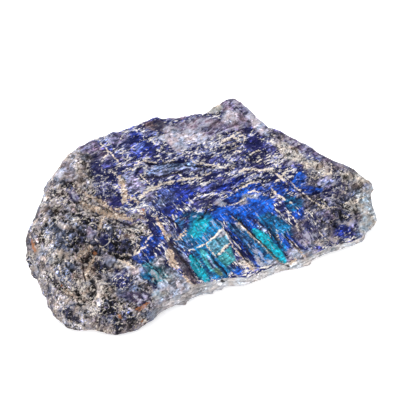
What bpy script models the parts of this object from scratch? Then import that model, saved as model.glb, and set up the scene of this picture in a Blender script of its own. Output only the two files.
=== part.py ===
"""A rough piece of labradorite: one broken wedge of feldspar that lies on its flat underside.

The stone is a single grown solid, so it is a single object. Its skin is one net of rings, from the middle
of the upper face out to the rim, down the broken wall to the foot, and in under the stone to the middle of
the base. The upper face is a tilted cleavage plane with ledges, open grooves, lumps and scoops on it.
Lengths are in millimetres up to the last step. +X runs along the stone, +Y to its thick back edge, +Z up,
and the origin is under the middle of the stone, on the surface that it rests on.
"""

import itertools

import bpy
import numpy as np

MM = 0.001
NAME = "labradorite"

# The upper face is the plane z = FACE_HEIGHT + FACE_SLOPE_X * x + FACE_SLOPE_Y * y.
FACE_HEIGHT = 6.9
FACE_SLOPE_X = -0.15
FACE_SLOPE_Y = 0.28
# A point that lies lower than that plane is seen this much nearer, per millimetre, from the usual side.
LEAN = 0.78

# The widest line round the stone, counterclockwise from the tip at the right: x, y, height.
MIDDLE = (-1.0, 0.0)
OUTLINE = (
    (27.1, 2.3, 2.2), (26.7, 4.3, 2.8), (26.2, 6.2, 3.6), (26.7, 7.3, 4.0), (26.1, 8.6, 4.6),
    (23.7, 10.3, 5.4), (20.7, 11.3, 6.2), (19.3, 11.9, 6.6), (15.8, 13.9, 7.8), (12.2, 15.6, 8.8),
    (10.4, 15.9, 9.2), (7.3, 18.5, 10.2), (6.0, 19.6, 10.8), (4.6, 20.2, 11.2), (2.8, 19.5, 11.2),
    (1.2, 18.9, 11.2), (-0.2, 17.1, 11.0), (-2.6, 16.3, 11.1), (-6.4, 15.3, 11.4), (-8.3, 14.9, 11.6),
    (-10.1, 13.9, 11.6), (-13.8, 12.2, 11.6), (-17.5, 10.2, 11.6), (-21.1, 7.4, 11.2), (-22.2, 5.6, 10.8),
    (-24.2, 2.7, 10.2), (-24.6, 0.9, 9.6), (-25.6, -2.9, 8.5), (-26.4, -4.4, 7.5), (-27.1, -6.4, 6.3),
    (-26.4, -8.5, 4.2), (-25.0, -11.0, 2.5), (-23.8, -13.0, 2.0), (-22.4, -16.5, 1.2), (-20.3, -18.9, 1.0),
    (-18.4, -19.4, 1.0), (-16.7, -19.2, 1.0), (-13.1, -20.2, 1.0), (-10.5, -19.2, 1.2), (-7.8, -17.8, 1.4),
    (-6.1, -15.8, 1.5), (-2.5, -13.6, 1.5), (-0.7, -12.3, 1.5), (2.9, -11.1, 1.5), (6.6, -10.6, 1.5),
    (8.7, -9.6, 1.5), (10.9, -8.2, 1.5), (14.9, -6.7, 1.5), (18.7, -4.3, 1.5), (22.5, -2.8, 1.5),
    (24.6, -1.7, 1.6), (25.5, 0.1, 1.8), (26.5, 1.2, 1.9),
)

# How the edge changes round the stone, by direction in degrees from +X: how far in the rim stands and how
# much and how widely it is rounded down, and how far in the foot stands.
AROUND = (0, 20, 60, 90, 130, 160, 180, 195, 210, 230, 245, 258, 300, 340, 360)
RIM_IN = (0.4, 0.3, 0.2, 0.2, 0.2, 0.3, 0.6, 0.9, 1.0, 0.9, 0.6, 0.3, 0.25, 0.25, 0.4)
RIM_DROP = (0.8, 0.4, 0.2, 0.15, 0.2, 0.4, 0.8, 1.3, 2.0, 1.8, 1.0, 0.3, 0.15, 0.2, 0.8)
RIM_WIDTH = (2.5, 2.0, 1.5, 1.2, 1.5, 2.0, 3.0, 4.0, 5.0, 5.0, 4.0, 1.2, 0.6, 0.8, 2.5)
FOOT_IN = (1.6, 2.6, 4.0, 3.6, 4.4, 3.8, 2.8, 2.0, 1.2, 0.9, 0.9, 1.0, 1.3, 1.2, 1.6)

# Ledges and grooves on the upper face. Each is a line of points, how much higher its left-hand side stands
# as one walks along it, how far from the line that height is felt, and its groove's depth and width.
BREAKS = {
    "back_ledge": (((-11.5, 5.5), (-8.0, 6.9), (-4.5, 7.5), (0.0, 7.9), (4.0, 7.8), (7.0, 9.4),
                    (10.5, 11.3)), 0.7, 6.0, 0.2, 1.2),
    "middle_ledge": (((-10.8, 0.8), (-8.5, 2.6), (-6.0, 4.0), (-3.0, 4.7), (0.0, 5.6), (3.0, 7.0)),
                     0.6, 5.0, 0.1, 1.1),
    "right_ledge": (((4.5, 3.8), (6.2, 5.1), (8.2, 6.2), (10.8, 7.2), (13.0, 8.9)), 0.6, 4.0, 0.1, 1.1),
    "bench_edge": (((-4.6, -1.2), (-2.6, -1.7), (-0.8, -1.6), (0.6, -0.3), (1.8, 1.2), (4.4, 2.0)),
                   0.45, 3.5, 0.0, 1.2),
    "dusty_step": (((-19.2, -0.4), (-16.0, -1.8), (-13.0, -2.8), (-10.0, -3.2), (-8.2, -3.6)),
                   1.2, 5.0, 0.3, 1.6),
    "great_groove": (((-0.4, -12.2), (-2.2, -9.7), (-4.2, -7.2), (-6.2, -4.7)), 1.0, 3.0, 0.5, 1.3),
    "second_groove": (((8.3, -9.4), (6.4, -7.1), (4.6, -4.7), (3.0, -2.3)), 0.5, 1.6, 0.35, 1.0),
    "third_groove": (((12.1, -8.0), (9.4, -5.3), (7.1, -2.8), (4.8, -0.5)), 0.5, 1.6, 0.35, 0.9),
    "fourth_groove": (((12.5, -6.7), (11.2, -4.4), (9.6, -1.8)), 0.3, 1.2, 0.25, 0.9),
    "fifth_groove": (((15.5, -5.7), (14.0, -4.0), (12.2, -2.2)), 0.3, 1.2, 0.25, 0.9),
    "right_border": (((11.6, 1.8), (13.2, 0.2), (14.4, -1.4), (15.8, -3.6)), 0.5, 3.0, 0.15, 1.0),
    "front_crack": (((17.4, -1.8), (20.2, -4.0)), 0.6, 2.5, 0.3, 1.0),
    "right_crack": (((12.6, 6.9), (14.6, 5.0), (17.2, 2.6)), -0.4, 2.5, 0.1, 1.0),
    "rock_step": (((-23.4, -12.6), (-22.0, -14.5), (-20.0, -15.2), (-17.9, -14.8)), 0.9, 2.5, 0.2, 1.2),
    "rock_crease": (((-19.2, -10.0), (-17.2, -8.0), (-15.0, -8.2), (-12.0, -9.0), (-9.6, -9.2)),
                    0.8, 2.5, 0.3, 1.2),
    "left_crease": (((-18.2, 7.6), (-18.8, 5.0), (-17.6, 2.4), (-18.8, 0.0)), -0.5, 3.0, 0.2, 1.2),
}

# Lumps, and scoops where the height is negative: x and y of the middle, half length, half width, turn in
# degrees, height.
SWELLS = (
    (-21.6, -6.4, 3.6, 3.0, 20, 0.9), (-15.0, -6.0, 1.6, 1.4, 0, 0.8), (-12.2, -6.2, 2.0, 1.6, 30, 0.8),
    (-20.3, -12.8, 2.4, 2.0, -20, 0.8), (-11.4, -13.6, 3.0, 2.2, -15, 0.7),
    (-15.5, -18.0, 3.2, 1.8, 0, 0.5), (-17.8, 8.4, 1.8, 1.4, 30, 0.5), (5.0, 17.4, 2.2, 2.6, 0, 0.8),
    (21.8, 7.4, 2.6, 1.8, -20, 0.7), (19.0, 2.6, 2.4, 1.8, 30, 0.5), (-3.2, 12.2, 4.6, 2.6, 20, -0.8),
    (1.2, 17.6, 1.8, 1.2, 40, -0.8), (8.2, 12.8, 2.2, 1.5, 20, -0.6), (-8.0, -5.6, 1.5, 1.8, -40, -0.6),
    (14.6, 11.6, 3.2, 1.2, -30, -0.4), (24.4, 3.4, 2.2, 3.0, 0, -0.7),
)

# Low stairs where the face is cleaved: x and y of the middle, half length, half width, turn of that place,
# then the direction in which the steps run, their spacing and their rise. A step with a negative rise drops
# towards the back.
STAIRS = (
    ((-3.0, 9.5, 15.0, 7.0, 8), 24, 2.6, 0.50), ((3.0, 2.2, 9.0, 3.6, 20), 28, 2.2, 0.35),
    ((14.0, 6.5, 8.0, 5.0, -20), 30, 2.4, 0.40), ((6.0, -4.0, 11.0, 4.5, 25), -50, 1.7, -0.25),
    ((-17.0, 1.5, 6.5, 6.0, 0), -14, 2.8, 0.60),
)

# Broken surfaces are facets of several sizes, each with how far it stands out at most.
FACET_SIZES = ((5.0, 0.9), (2.4, 0.5))
# The rough rock of the upper face: x and y of the middle, half length, half width, turn. The facets stand
# out in full there, and by the share SMOOTH on the cleaved face between.
ROUGH = (
    (-22.0, -8.0, 9.0, 13.0, -15), (-13.0, -15.0, 11.0, 7.5, 10), (22.5, 5.5, 6.0, 7.0, 10),
    (16.0, 12.0, 7.0, 2.2, -30), (5.0, 18.0, 3.2, 3.0, 0),
)
SMOOTH = 0.16
# Facets stand out by this share at the rim and the widest line, and in full from this share of the way
# down the wall below it.
RIM_FACETS = 0.25
FULL_FACETS_AT = 0.35
# The wall is broken in layers along the cleavage: thickness of a layer, and how far its edge stands out.
LAYER = 1.7
LAYER_OUT = 0.45
# The broken wall stands in by this much, so that its facets stay inside the widest line.
BROKEN_IN = 0.45

# The base is flat out to this share of the foot, and beyond that it is chipped away up to this height. Thin
# sheets have split off parts of the base too, but not off its middle.
FLAT_SHARE = 0.8
CHIP_HEIGHT = 0.9
SHEET = 0.35
WHOLE_MIDDLE = 0.3

# The net: points round the stone, then rings on the upper face, the wall and the base.
POINTS_ROUND = 400
FACE_RINGS = 64
WALL_RINGS = 24
BASE_RINGS = 26
TRIANGLES = 9400


def smooth_step(value):
    """0 below 0, 1 above 1, and a smooth rise between."""
    t = np.clip(value, 0.0, 1.0)
    return t * t * (3.0 - 2.0 * t)


def scrambled(cell, seed):
    """Three numbers from 0 to 1 for each lattice cell, always the same for the same cell and seed."""
    x, y, z = (cell[:, i].astype(np.int64) for i in range(3))
    key = x * 73856093 ^ y * 19349663 ^ z * 83492791 ^ (seed + 1) * 40503017
    made = []
    for turn in (1, 2, 3):
        key = ((key ^ (key >> 13)) * 1274126177 + turn * 668265263) & 0x7FFFFFFF
        made.append((key >> 7 & 0xFFFF) / 65535.0)
    return np.stack(made, 1)


def facets(points, size, seed, sharpness=14.0):
    """Broken facets, from about -1 to 1: each point takes the tilted plane of the nearest cell, and the
    planes run into each other over a short way."""
    scaled = points / size
    home = np.floor(scaled)
    level = np.zeros(len(points))
    total = np.zeros(len(points))
    for shift in itertools.product((-1, 0, 1), repeat=3):
        cell = home + shift
        away = scaled - cell - scrambled(cell, seed)
        tilt = scrambled(cell, seed + 100) * 2.0 - 1.0
        weight = np.exp(-sharpness * (away**2).sum(1))
        level += weight * (1.2 * (tilt * away).sum(1) + 0.5 * tilt[:, 0])
        total += weight
    return level / total


def oval(x, y, centre_x, centre_y, half_length, half_width, turn):
    """Squared distance from an oval's middle, as a share of its size: 0 in the middle, 1 on the oval."""
    angle = np.radians(turn)
    along = (x - centre_x) * np.cos(angle) + (y - centre_y) * np.sin(angle)
    across = (y - centre_y) * np.cos(angle) - (x - centre_x) * np.sin(angle)
    return (along / half_length) ** 2 + (across / half_width) ** 2


def beside_line(x, y, line):
    """(distance from a line of points, positive on its left, share of the way along it)."""
    line = np.asarray(line, float)
    lengths = np.linalg.norm(np.diff(line, axis=0), axis=1)
    nearest = np.full(x.shape, np.inf)
    offset = np.zeros(x.shape)
    share = np.zeros(x.shape)
    gone = 0.0
    for start, end, length in zip(line[:-1], line[1:], lengths):
        way = (end - start) / length
        held = np.clip((x - start[0]) * way[0] + (y - start[1]) * way[1], 0.0, length)
        off_x = x - start[0] - way[0] * held
        off_y = y - start[1] - way[1] * held
        distance = np.hypot(off_x, off_y)
        closer = distance < nearest
        nearest = np.where(closer, distance, nearest)
        offset = np.where(closer, np.copysign(distance, way[0] * off_y - way[1] * off_x), offset)
        share = np.where(closer, (gone + held) / lengths.sum(), share)
        gone += length
    return offset, share


def break_height(x, y, line, rise, reach, depth, width):
    """A ledge, up on the left of its line and down on the right, dying away on both sides, and a groove."""
    offset, share = beside_line(x, y, line)
    fade = smooth_step(share / 0.15) * smooth_step((1.0 - share) / 0.15)
    lift = (smooth_step(offset / width + 0.5) - 0.5) * rise * np.exp(-np.abs(offset) / reach)
    groove = -depth * np.exp(-((offset / (0.5 * width)) ** 2))
    return fade * (lift + groove)


def stair_height(x, y, place, run, spacing, rise):
    """Stairs whose edges run in one direction and wander: a short riser, then a tread that sinks again."""
    angle = np.radians(run)
    wander = 0.6 * spacing * facets(np.column_stack([x, y, 0.0 * x]), 5.0, 40)
    count = ((y * np.cos(angle) - x * np.sin(angle) + wander) / spacing * np.sign(rise)) % 1.0
    step = smooth_step(count / 0.25) - count
    return abs(rise) * step * smooth_step((1.2 - oval(x, y, *place)) / 0.5)


def face_relief(x, y):
    """Height of the ledges, grooves, stairs, lumps and scoops above the plane of the upper face."""
    height = sum(break_height(x, y, *measures) for measures in BREAKS.values())
    height = height + sum(stair_height(x, y, *measures) for measures in STAIRS)
    for *place, swell in SWELLS:
        height = height + swell * np.exp(-oval(x, y, *place))
    return height


def face_roughness(x, y):
    """1 in the rough rock, and SMOOTH on the cleaved face."""
    rough = np.max([smooth_step((1.3 - oval(x, y, *place)) / 0.6) for place in ROUGH], axis=0)
    return SMOOTH + (1.0 - SMOOTH) * rough


def plane_height(x, y):
    """Height of the plane of the upper face."""
    return FACE_HEIGHT + FACE_SLOPE_X * x + FACE_SLOPE_Y * y


def face_height(x, y, edge_distance, direction):
    """The upper face: its plane, rounded down at the rim, with the relief on it."""
    width = np.interp(direction, AROUND, RIM_WIDTH)
    rounding = np.interp(direction, AROUND, RIM_DROP) * np.clip(1.0 - edge_distance / width, 0.0, 1.0) ** 2
    return plane_height(x, y) - rounding + face_relief(x, y - LEAN * rounding)


def outline_points(count):
    """(widest line at even steps, directions outwards there, compass direction from MIDDLE in degrees)."""
    corners = np.array(OUTLINE + OUTLINE[:1])
    walked = np.append(0.0, np.cumsum(np.linalg.norm(np.diff(corners[:, :2], axis=0), axis=1)))
    wanted = np.linspace(0.0, walked[-1], count, endpoint=False)
    ring = np.stack([np.interp(wanted, walked, corners[:, i]) for i in range(3)], 1)
    ahead = np.roll(ring, -5, axis=0) - np.roll(ring, 5, axis=0)
    outward = np.stack([ahead[:, 1], -ahead[:, 0]], 1)
    outward /= np.linalg.norm(outward, axis=1, keepdims=True)
    away = ring[:, :2] - MIDDLE
    return ring, outward, np.degrees(np.arctan2(away[:, 1], away[:, 0])) % 360.0


def in_order(ring):
    """The ring with its directions from MIDDLE put in order and evened out, so that no spokes cross."""
    spokes = ring - MIDDLE
    radius = np.linalg.norm(spokes, axis=1)
    direction = np.sort(np.unwrap(np.arctan2(spokes[:, 1], spokes[:, 0])))
    reach = len(ring) // 100
    whole_turn = 2.0 * np.pi
    direction = np.concatenate([direction[-reach:] - whole_turn, direction, direction[:reach] + whole_turn])
    direction = np.convolve(direction, np.full(2 * reach + 1, 1.0 / (2 * reach + 1)), "valid")
    return MIDDLE + radius[:, None] * np.column_stack([np.cos(direction), np.sin(direction)])


def stone_rings():
    """The rings of the net before the facets, and the way and share by which a facet moves each point."""
    ring, outward, direction = outline_points(POINTS_ROUND)
    flat, widest = ring[:, :2], ring[:, 2]
    rim = flat - outward * np.interp(direction, AROUND, RIM_IN)[:, None]
    foot = in_order(flat - outward * np.interp(direction, AROUND, FOOT_IN)[:, None])
    chips = CHIP_HEIGHT * np.clip(0.4 + facets(np.column_stack([foot, widest * 0.0]), 4.0, 7), 0.0, 1.0)
    spokes = rim - MIDDLE
    radius = np.linalg.norm(spokes, axis=1)
    rings, ways = [], []

    for share in np.linspace(0.0, 1.0, FACE_RINGS + 1)[1:] ** 0.9:
        x, y = (MIDDLE + spokes * share).T
        z = face_height(x, y, (1.0 - share) * radius, direction)
        sideways = smooth_step((share - 0.9) / 0.1)
        rough = face_roughness(x, y) * (1.0 - sideways) + RIM_FACETS * sideways
        rings.append(np.column_stack([x, y, z]))
        ways.append(np.column_stack([outward * 0.7 * sideways, np.full(len(x), 1.0 - 0.7 * sideways)])
                    * rough[:, None])

    top = z
    for share in np.linspace(0.0, 1.0, WALL_RINGS + 1)[1:]:
        z = top + (chips - top) * share
        above = np.clip((z - widest) / (top - widest), 0.0, 1.0)
        below = np.clip((widest - z) / (widest - chips), 0.0, 1.0)
        place = flat + (rim - flat) * (above**2)[:, None] + (foot - flat) * (below**1.3)[:, None]
        layer = (plane_height(*place.T) - z) / LAYER
        layer = layer % 1.0 - 0.5
        broken = smooth_step(below / FULL_FACETS_AT)
        rough = (RIM_FACETS + (1.0 - RIM_FACETS) * broken) * smooth_step((z + 0.4) / 2.5)
        shift = (LAYER_OUT * layer - BROKEN_IN) * broken * smooth_step((z - chips) / 3.0)
        place = place + outward * shift[:, None]
        rings.append(np.column_stack([place, z]))
        ways.append(np.column_stack([outward * rough[:, None], np.zeros(len(z))]))

    for share in np.linspace(1.0, 0.0, BASE_RINGS + 1)[1:-1]:
        place = MIDDLE + (rings[FACE_RINGS + WALL_RINGS - 1][:, :2] - MIDDLE) * share
        split = smooth_step(facets(np.column_stack([place, 0.0 * top]), 7.0, 9) / 0.12)
        z = SHEET * split * smooth_step((share - WHOLE_MIDDLE) / 0.1)
        z = np.maximum(z, chips * np.clip((share - FLAT_SHARE) / (1.0 - FLAT_SHARE), 0.0, 1.0))
        rings.append(np.column_stack([place, z]))
        ways.append(np.zeros((len(z), 3)))
    return np.array(rings), np.array(ways)


def stone_net():
    """(points, faces) of the closed skin, with the facets on it."""
    rings, ways = stone_rings()
    points = rings.reshape(-1, 3)
    stands_out = sum(height * facets(points, size, seed) for seed, (size, height) in enumerate(FACET_SIZES))
    points = points + ways.reshape(-1, 3) * stands_out[:, None]
    middle = np.array(MIDDLE)
    crown = face_height(middle[:1], middle[1:], np.array([1e3]), np.array([0.0]))
    points = np.vstack([points, [*middle, crown[0]], [*middle, 0.0]])
    here = np.arange(POINTS_ROUND)
    ahead = np.roll(here, -1)
    faces = []
    for row in range(len(rings) - 1):
        inner, outer = row * POINTS_ROUND, (row + 1) * POINTS_ROUND
        faces += np.stack([inner + here, outer + here, outer + ahead, inner + ahead], 1).tolist()
    last = (len(rings) - 1) * POINTS_ROUND
    crown_index, base_index = len(points) - 2, len(points) - 1
    for a, b in zip(here.tolist(), ahead.tolist()):
        faces += [[crown_index, a, b], [last + b, last + a, base_index]]
    return points, faces


def stone_material():
    """Dark blue-grey feldspar with a waxy lustre."""
    material = bpy.data.materials.new("labradorite_feldspar")
    material.use_nodes = True
    shader = material.node_tree.nodes["Principled BSDF"]
    shader.inputs["Base Color"].default_value = (0.05, 0.07, 0.16, 1.0)
    shader.inputs["Roughness"].default_value = 0.45
    shader.inputs["Metallic"].default_value = 0.0
    return material


def build_stone():
    """The stone as one object, its fine net thinned to larger triangles where it is flat."""
    points, faces = stone_net()
    mesh = bpy.data.meshes.new(NAME)
    mesh.from_pydata((points * MM).tolist(), [], faces)
    mesh.materials.append(stone_material())
    stone = bpy.data.objects.new(NAME, mesh)
    bpy.context.scene.collection.objects.link(stone)
    thin = stone.modifiers.new("thin_flat_areas", "DECIMATE")
    thin.ratio = TRIANGLES / (2 * len(faces))


def main():
    for old in list(bpy.data.objects):
        bpy.data.objects.remove(old)
    build_stone()


main()
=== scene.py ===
"""The looks of a rough piece of labradorite, laid out as an add-on and run as a script.

The stone is one skin: a net of rings over the broken face, the wall and the base, worked out with numpy in
millimetres. Its colours are laid on as paints in soft patches, sharp stripes, veins and cracks, and kept as
attributes of the skin, which the material breaks up into frost, grit, flecks with painted glints, and dust.
"""

import itertools

import bpy
import numpy as np
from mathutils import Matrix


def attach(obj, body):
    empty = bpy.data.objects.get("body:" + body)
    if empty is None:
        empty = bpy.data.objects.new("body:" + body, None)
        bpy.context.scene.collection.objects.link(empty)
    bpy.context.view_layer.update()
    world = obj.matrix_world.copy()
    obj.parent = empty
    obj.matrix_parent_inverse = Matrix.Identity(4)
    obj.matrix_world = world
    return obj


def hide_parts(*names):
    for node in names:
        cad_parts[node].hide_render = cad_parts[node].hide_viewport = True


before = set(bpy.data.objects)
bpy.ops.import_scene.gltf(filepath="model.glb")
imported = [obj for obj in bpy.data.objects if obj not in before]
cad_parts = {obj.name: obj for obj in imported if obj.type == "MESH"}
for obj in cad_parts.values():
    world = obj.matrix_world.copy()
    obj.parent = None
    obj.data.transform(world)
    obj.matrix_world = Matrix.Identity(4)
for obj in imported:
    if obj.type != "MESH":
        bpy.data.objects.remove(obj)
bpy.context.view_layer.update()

bl_info = {
    "name": "Labradorite",
    "version": (1, 0, 0),
    "blender": (4, 5, 0),
    "location": "3D View > Sidebar > Stone",
    "description": "A rough labradorite with its blue flash, on a plain pale floor",
    "category": "Add Mesh",
}

MM = 0.001
NODE = "labradorite"

# The upper face is the plane z = FACE_HEIGHT + FACE_SLOPE_X * x + FACE_SLOPE_Y * y.
FACE_HEIGHT = 6.9
FACE_SLOPE_X = -0.15
FACE_SLOPE_Y = 0.28
# A point that lies lower than that plane is seen this much nearer, per millimetre, from the usual side.
LEAN = 0.78

# The widest line round the stone, counterclockwise from the tip at the right: x, y, height.
MIDDLE = (-1.0, 0.0)
OUTLINE = (
    (27.1, 2.3, 2.2), (26.7, 4.3, 2.8), (26.2, 6.2, 3.6), (26.7, 7.3, 4.0), (26.1, 8.6, 4.6),
    (23.7, 10.3, 5.4), (20.7, 11.3, 6.2), (19.3, 11.9, 6.6), (15.8, 13.9, 7.8), (12.2, 15.6, 8.8),
    (10.4, 15.9, 9.2), (7.3, 18.5, 10.2), (6.0, 19.6, 10.8), (4.6, 20.2, 11.2), (2.8, 19.5, 11.2),
    (1.2, 18.9, 11.2), (-0.2, 17.1, 11.0), (-2.6, 16.3, 11.1), (-6.4, 15.3, 11.4), (-8.3, 14.9, 11.6),
    (-10.1, 13.9, 11.6), (-13.8, 12.2, 11.6), (-17.5, 10.2, 11.6), (-21.1, 7.4, 11.2), (-22.2, 5.6, 10.8),
    (-24.2, 2.7, 10.2), (-24.6, 0.9, 9.6), (-25.6, -2.9, 8.5), (-26.4, -4.4, 7.5), (-27.1, -6.4, 6.3),
    (-26.4, -8.5, 4.2), (-25.0, -11.0, 2.5), (-23.8, -13.0, 2.0), (-22.4, -16.5, 1.2), (-20.3, -18.9, 1.0),
    (-18.4, -19.4, 1.0), (-16.7, -19.2, 1.0), (-13.1, -20.2, 1.0), (-10.5, -19.2, 1.2), (-7.8, -17.8, 1.4),
    (-6.1, -15.8, 1.5), (-2.5, -13.6, 1.5), (-0.7, -12.3, 1.5), (2.9, -11.1, 1.5), (6.6, -10.6, 1.5),
    (8.7, -9.6, 1.5), (10.9, -8.2, 1.5), (14.9, -6.7, 1.5), (18.7, -4.3, 1.5), (22.5, -2.8, 1.5),
    (24.6, -1.7, 1.6), (25.5, 0.1, 1.8), (26.5, 1.2, 1.9),
)

# How the edge changes round the stone, by direction in degrees from +X: how far in the rim stands and how
# much and how widely it is rounded down, and how far in the foot stands.
AROUND = (0, 20, 60, 90, 130, 160, 180, 195, 210, 230, 245, 258, 300, 340, 360)
RIM_IN = (0.4, 0.3, 0.2, 0.2, 0.2, 0.3, 0.6, 0.9, 1.0, 0.9, 0.6, 0.3, 0.25, 0.25, 0.4)
RIM_DROP = (0.8, 0.4, 0.2, 0.15, 0.2, 0.4, 0.8, 1.3, 2.0, 1.8, 1.0, 0.3, 0.15, 0.2, 0.8)
RIM_WIDTH = (2.5, 2.0, 1.5, 1.2, 1.5, 2.0, 3.0, 4.0, 5.0, 5.0, 4.0, 1.2, 0.6, 0.8, 2.5)
FOOT_IN = (1.6, 2.6, 4.0, 3.6, 4.4, 3.8, 2.8, 2.0, 1.2, 0.9, 0.9, 1.0, 1.3, 1.2, 1.6)

# Ledges and grooves on the upper face. Each is a line of points, how much higher its left-hand side stands
# as one walks along it, how far from the line that height is felt, and its groove's depth and width.
BREAKS = {
    "back_ledge": (((-11.5, 5.5), (-8.0, 6.9), (-4.5, 7.5), (0.0, 7.9), (4.0, 7.8), (7.0, 9.4),
                    (10.5, 11.3)), 0.7, 6.0, 0.2, 1.2),
    "middle_ledge": (((-10.8, 0.8), (-8.5, 2.6), (-6.0, 4.0), (-3.0, 4.7), (0.0, 5.6), (3.0, 7.0)),
                     0.6, 5.0, 0.1, 1.1),
    "right_ledge": (((4.5, 3.8), (6.2, 5.1), (8.2, 6.2), (10.8, 7.2), (13.0, 8.9)), 0.6, 4.0, 0.1, 1.1),
    "bench_edge": (((-4.6, -1.2), (-2.6, -1.7), (-0.8, -1.6), (0.6, -0.3), (1.8, 1.2), (4.4, 2.0)),
                   0.45, 3.5, 0.0, 1.2),
    "dusty_step": (((-19.2, -0.4), (-16.0, -1.8), (-13.0, -2.8), (-10.0, -3.2), (-8.2, -3.6)),
                   1.2, 5.0, 0.3, 1.6),
    "great_groove": (((-0.4, -12.2), (-2.2, -9.7), (-4.2, -7.2), (-6.2, -4.7)), 1.0, 3.0, 0.5, 1.3),
    "second_groove": (((8.3, -9.4), (6.4, -7.1), (4.6, -4.7), (3.0, -2.3)), 0.5, 1.6, 0.35, 1.0),
    "third_groove": (((12.1, -8.0), (9.4, -5.3), (7.1, -2.8), (4.8, -0.5)), 0.5, 1.6, 0.35, 0.9),
    "fourth_groove": (((12.5, -6.7), (11.2, -4.4), (9.6, -1.8)), 0.3, 1.2, 0.25, 0.9),
    "fifth_groove": (((15.5, -5.7), (14.0, -4.0), (12.2, -2.2)), 0.3, 1.2, 0.25, 0.9),
    "right_border": (((11.6, 1.8), (13.2, 0.2), (14.4, -1.4), (15.8, -3.6)), 0.5, 3.0, 0.15, 1.0),
    "front_crack": (((17.4, -1.8), (20.2, -4.0)), 0.6, 2.5, 0.3, 1.0),
    "right_crack": (((12.6, 6.9), (14.6, 5.0), (17.2, 2.6)), -0.4, 2.5, 0.1, 1.0),
    "rock_step": (((-23.4, -12.6), (-22.0, -14.5), (-20.0, -15.2), (-17.9, -14.8)), 0.9, 2.5, 0.2, 1.2),
    "rock_crease": (((-19.2, -10.0), (-17.2, -8.0), (-15.0, -8.2), (-12.0, -9.0), (-9.6, -9.2)),
                    0.8, 2.5, 0.3, 1.2),
    "left_crease": (((-18.2, 7.6), (-18.8, 5.0), (-17.6, 2.4), (-18.8, 0.0)), -0.5, 3.0, 0.2, 1.2),
}

# Lumps, and scoops where the height is negative: x and y of the middle, half length, half width, turn in
# degrees, height.
SWELLS = (
    (-21.6, -6.4, 3.6, 3.0, 20, 0.9), (-15.0, -6.0, 1.6, 1.4, 0, 0.8), (-12.2, -6.2, 2.0, 1.6, 30, 0.8),
    (-20.3, -12.8, 2.4, 2.0, -20, 0.8), (-11.4, -13.6, 3.0, 2.2, -15, 0.7),
    (-15.5, -18.0, 3.2, 1.8, 0, 0.5), (-17.8, 8.4, 1.8, 1.4, 30, 0.5), (5.0, 17.4, 2.2, 2.6, 0, 0.8),
    (21.8, 7.4, 2.6, 1.8, -20, 0.7), (19.0, 2.6, 2.4, 1.8, 30, 0.5), (-3.2, 12.2, 4.6, 2.6, 20, -0.8),
    (1.2, 17.6, 1.8, 1.2, 40, -0.8), (8.2, 12.8, 2.2, 1.5, 20, -0.6), (-8.0, -5.6, 1.5, 1.8, -40, -0.6),
    (14.6, 11.6, 3.2, 1.2, -30, -0.4), (24.4, 3.4, 2.2, 3.0, 0, -0.7),
)

# Stairs where the face is cleaved: x and y of the middle, half length, half width, turn of that place, then
# the direction in which the steps run, their spacing and their rise. A step with a negative rise drops
# towards the back. The fine stairs are the same, and the solid doesn't have them.
STAIRS = (
    ((-3.0, 9.5, 15.0, 7.0, 8), 24, 2.6, 0.50), ((3.0, 2.2, 9.0, 3.6, 20), 28, 2.2, 0.35),
    ((14.0, 6.5, 8.0, 5.0, -20), 30, 2.4, 0.40), ((6.0, -4.0, 11.0, 4.5, 25), -50, 1.7, -0.25),
    ((-17.0, 1.5, 6.5, 6.0, 0), -14, 2.8, 0.60),
)
FINE_STAIRS = (
    ((-1.0, 9.0, 17.0, 7.5, 8), 27, 0.85, 0.16), ((2.0, 2.0, 11.0, 3.6, 20), 35, 0.8, 0.08),
    ((14.0, 6.0, 8.0, 6.0, -20), 30, 0.9, 0.15), ((6.0, -4.5, 11.0, 5.0, 25), -50, 0.7, -0.09),
    ((-15.5, -0.6, 5.0, 1.8, -18), -16, 0.6, 0.16), ((4.5, 12.0, 3.2, 2.6, 20), 26, 0.75, 0.14),
)

# Broken surfaces are facets of several sizes, each with how far it stands out at most.
FACET_SIZES = ((5.0, 0.9), (2.4, 0.5))
# The rough rock of the upper face: x and y of the middle, half length, half width, turn. The facets stand
# out in full there, and by the share SMOOTH on the cleaved face between.
ROUGH = (
    (-22.0, -8.0, 9.0, 13.0, -15), (-13.0, -15.0, 11.0, 7.5, 10), (22.5, 5.5, 6.0, 7.0, 10),
    (16.0, 12.0, 7.0, 2.2, -30), (5.0, 18.0, 3.2, 3.0, 0),
)
SMOOTH = 0.16
# Facets stand out by this share at the rim and the widest line, and in full from this share of the way
# down the wall below it.
RIM_FACETS = 0.25
FULL_FACETS_AT = 0.35
# The wall is broken in layers along the cleavage: thickness of a layer, and how far its edge stands out.
LAYER = 1.7
LAYER_OUT = 0.45
# The broken wall stands in by this much, so that its facets stay inside the widest line.
BROKEN_IN = 0.45

# The base is flat out to this share of the foot, and beyond that it is chipped away up to this height. Thin
# sheets have split off parts of the base too, but not off its middle, out to these shares.
FLAT_SHARE = 0.8
CHIP_HEIGHT = 0.9
SHEET = 0.35
WHOLE_MIDDLE = (0.3, 0.4)

# The net: points round the stone, then rings on the upper face, the wall and the base.
POINTS_ROUND = 560
FACE_RINGS = 120
WALL_RINGS = 32
BASE_RINGS = 20
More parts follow.
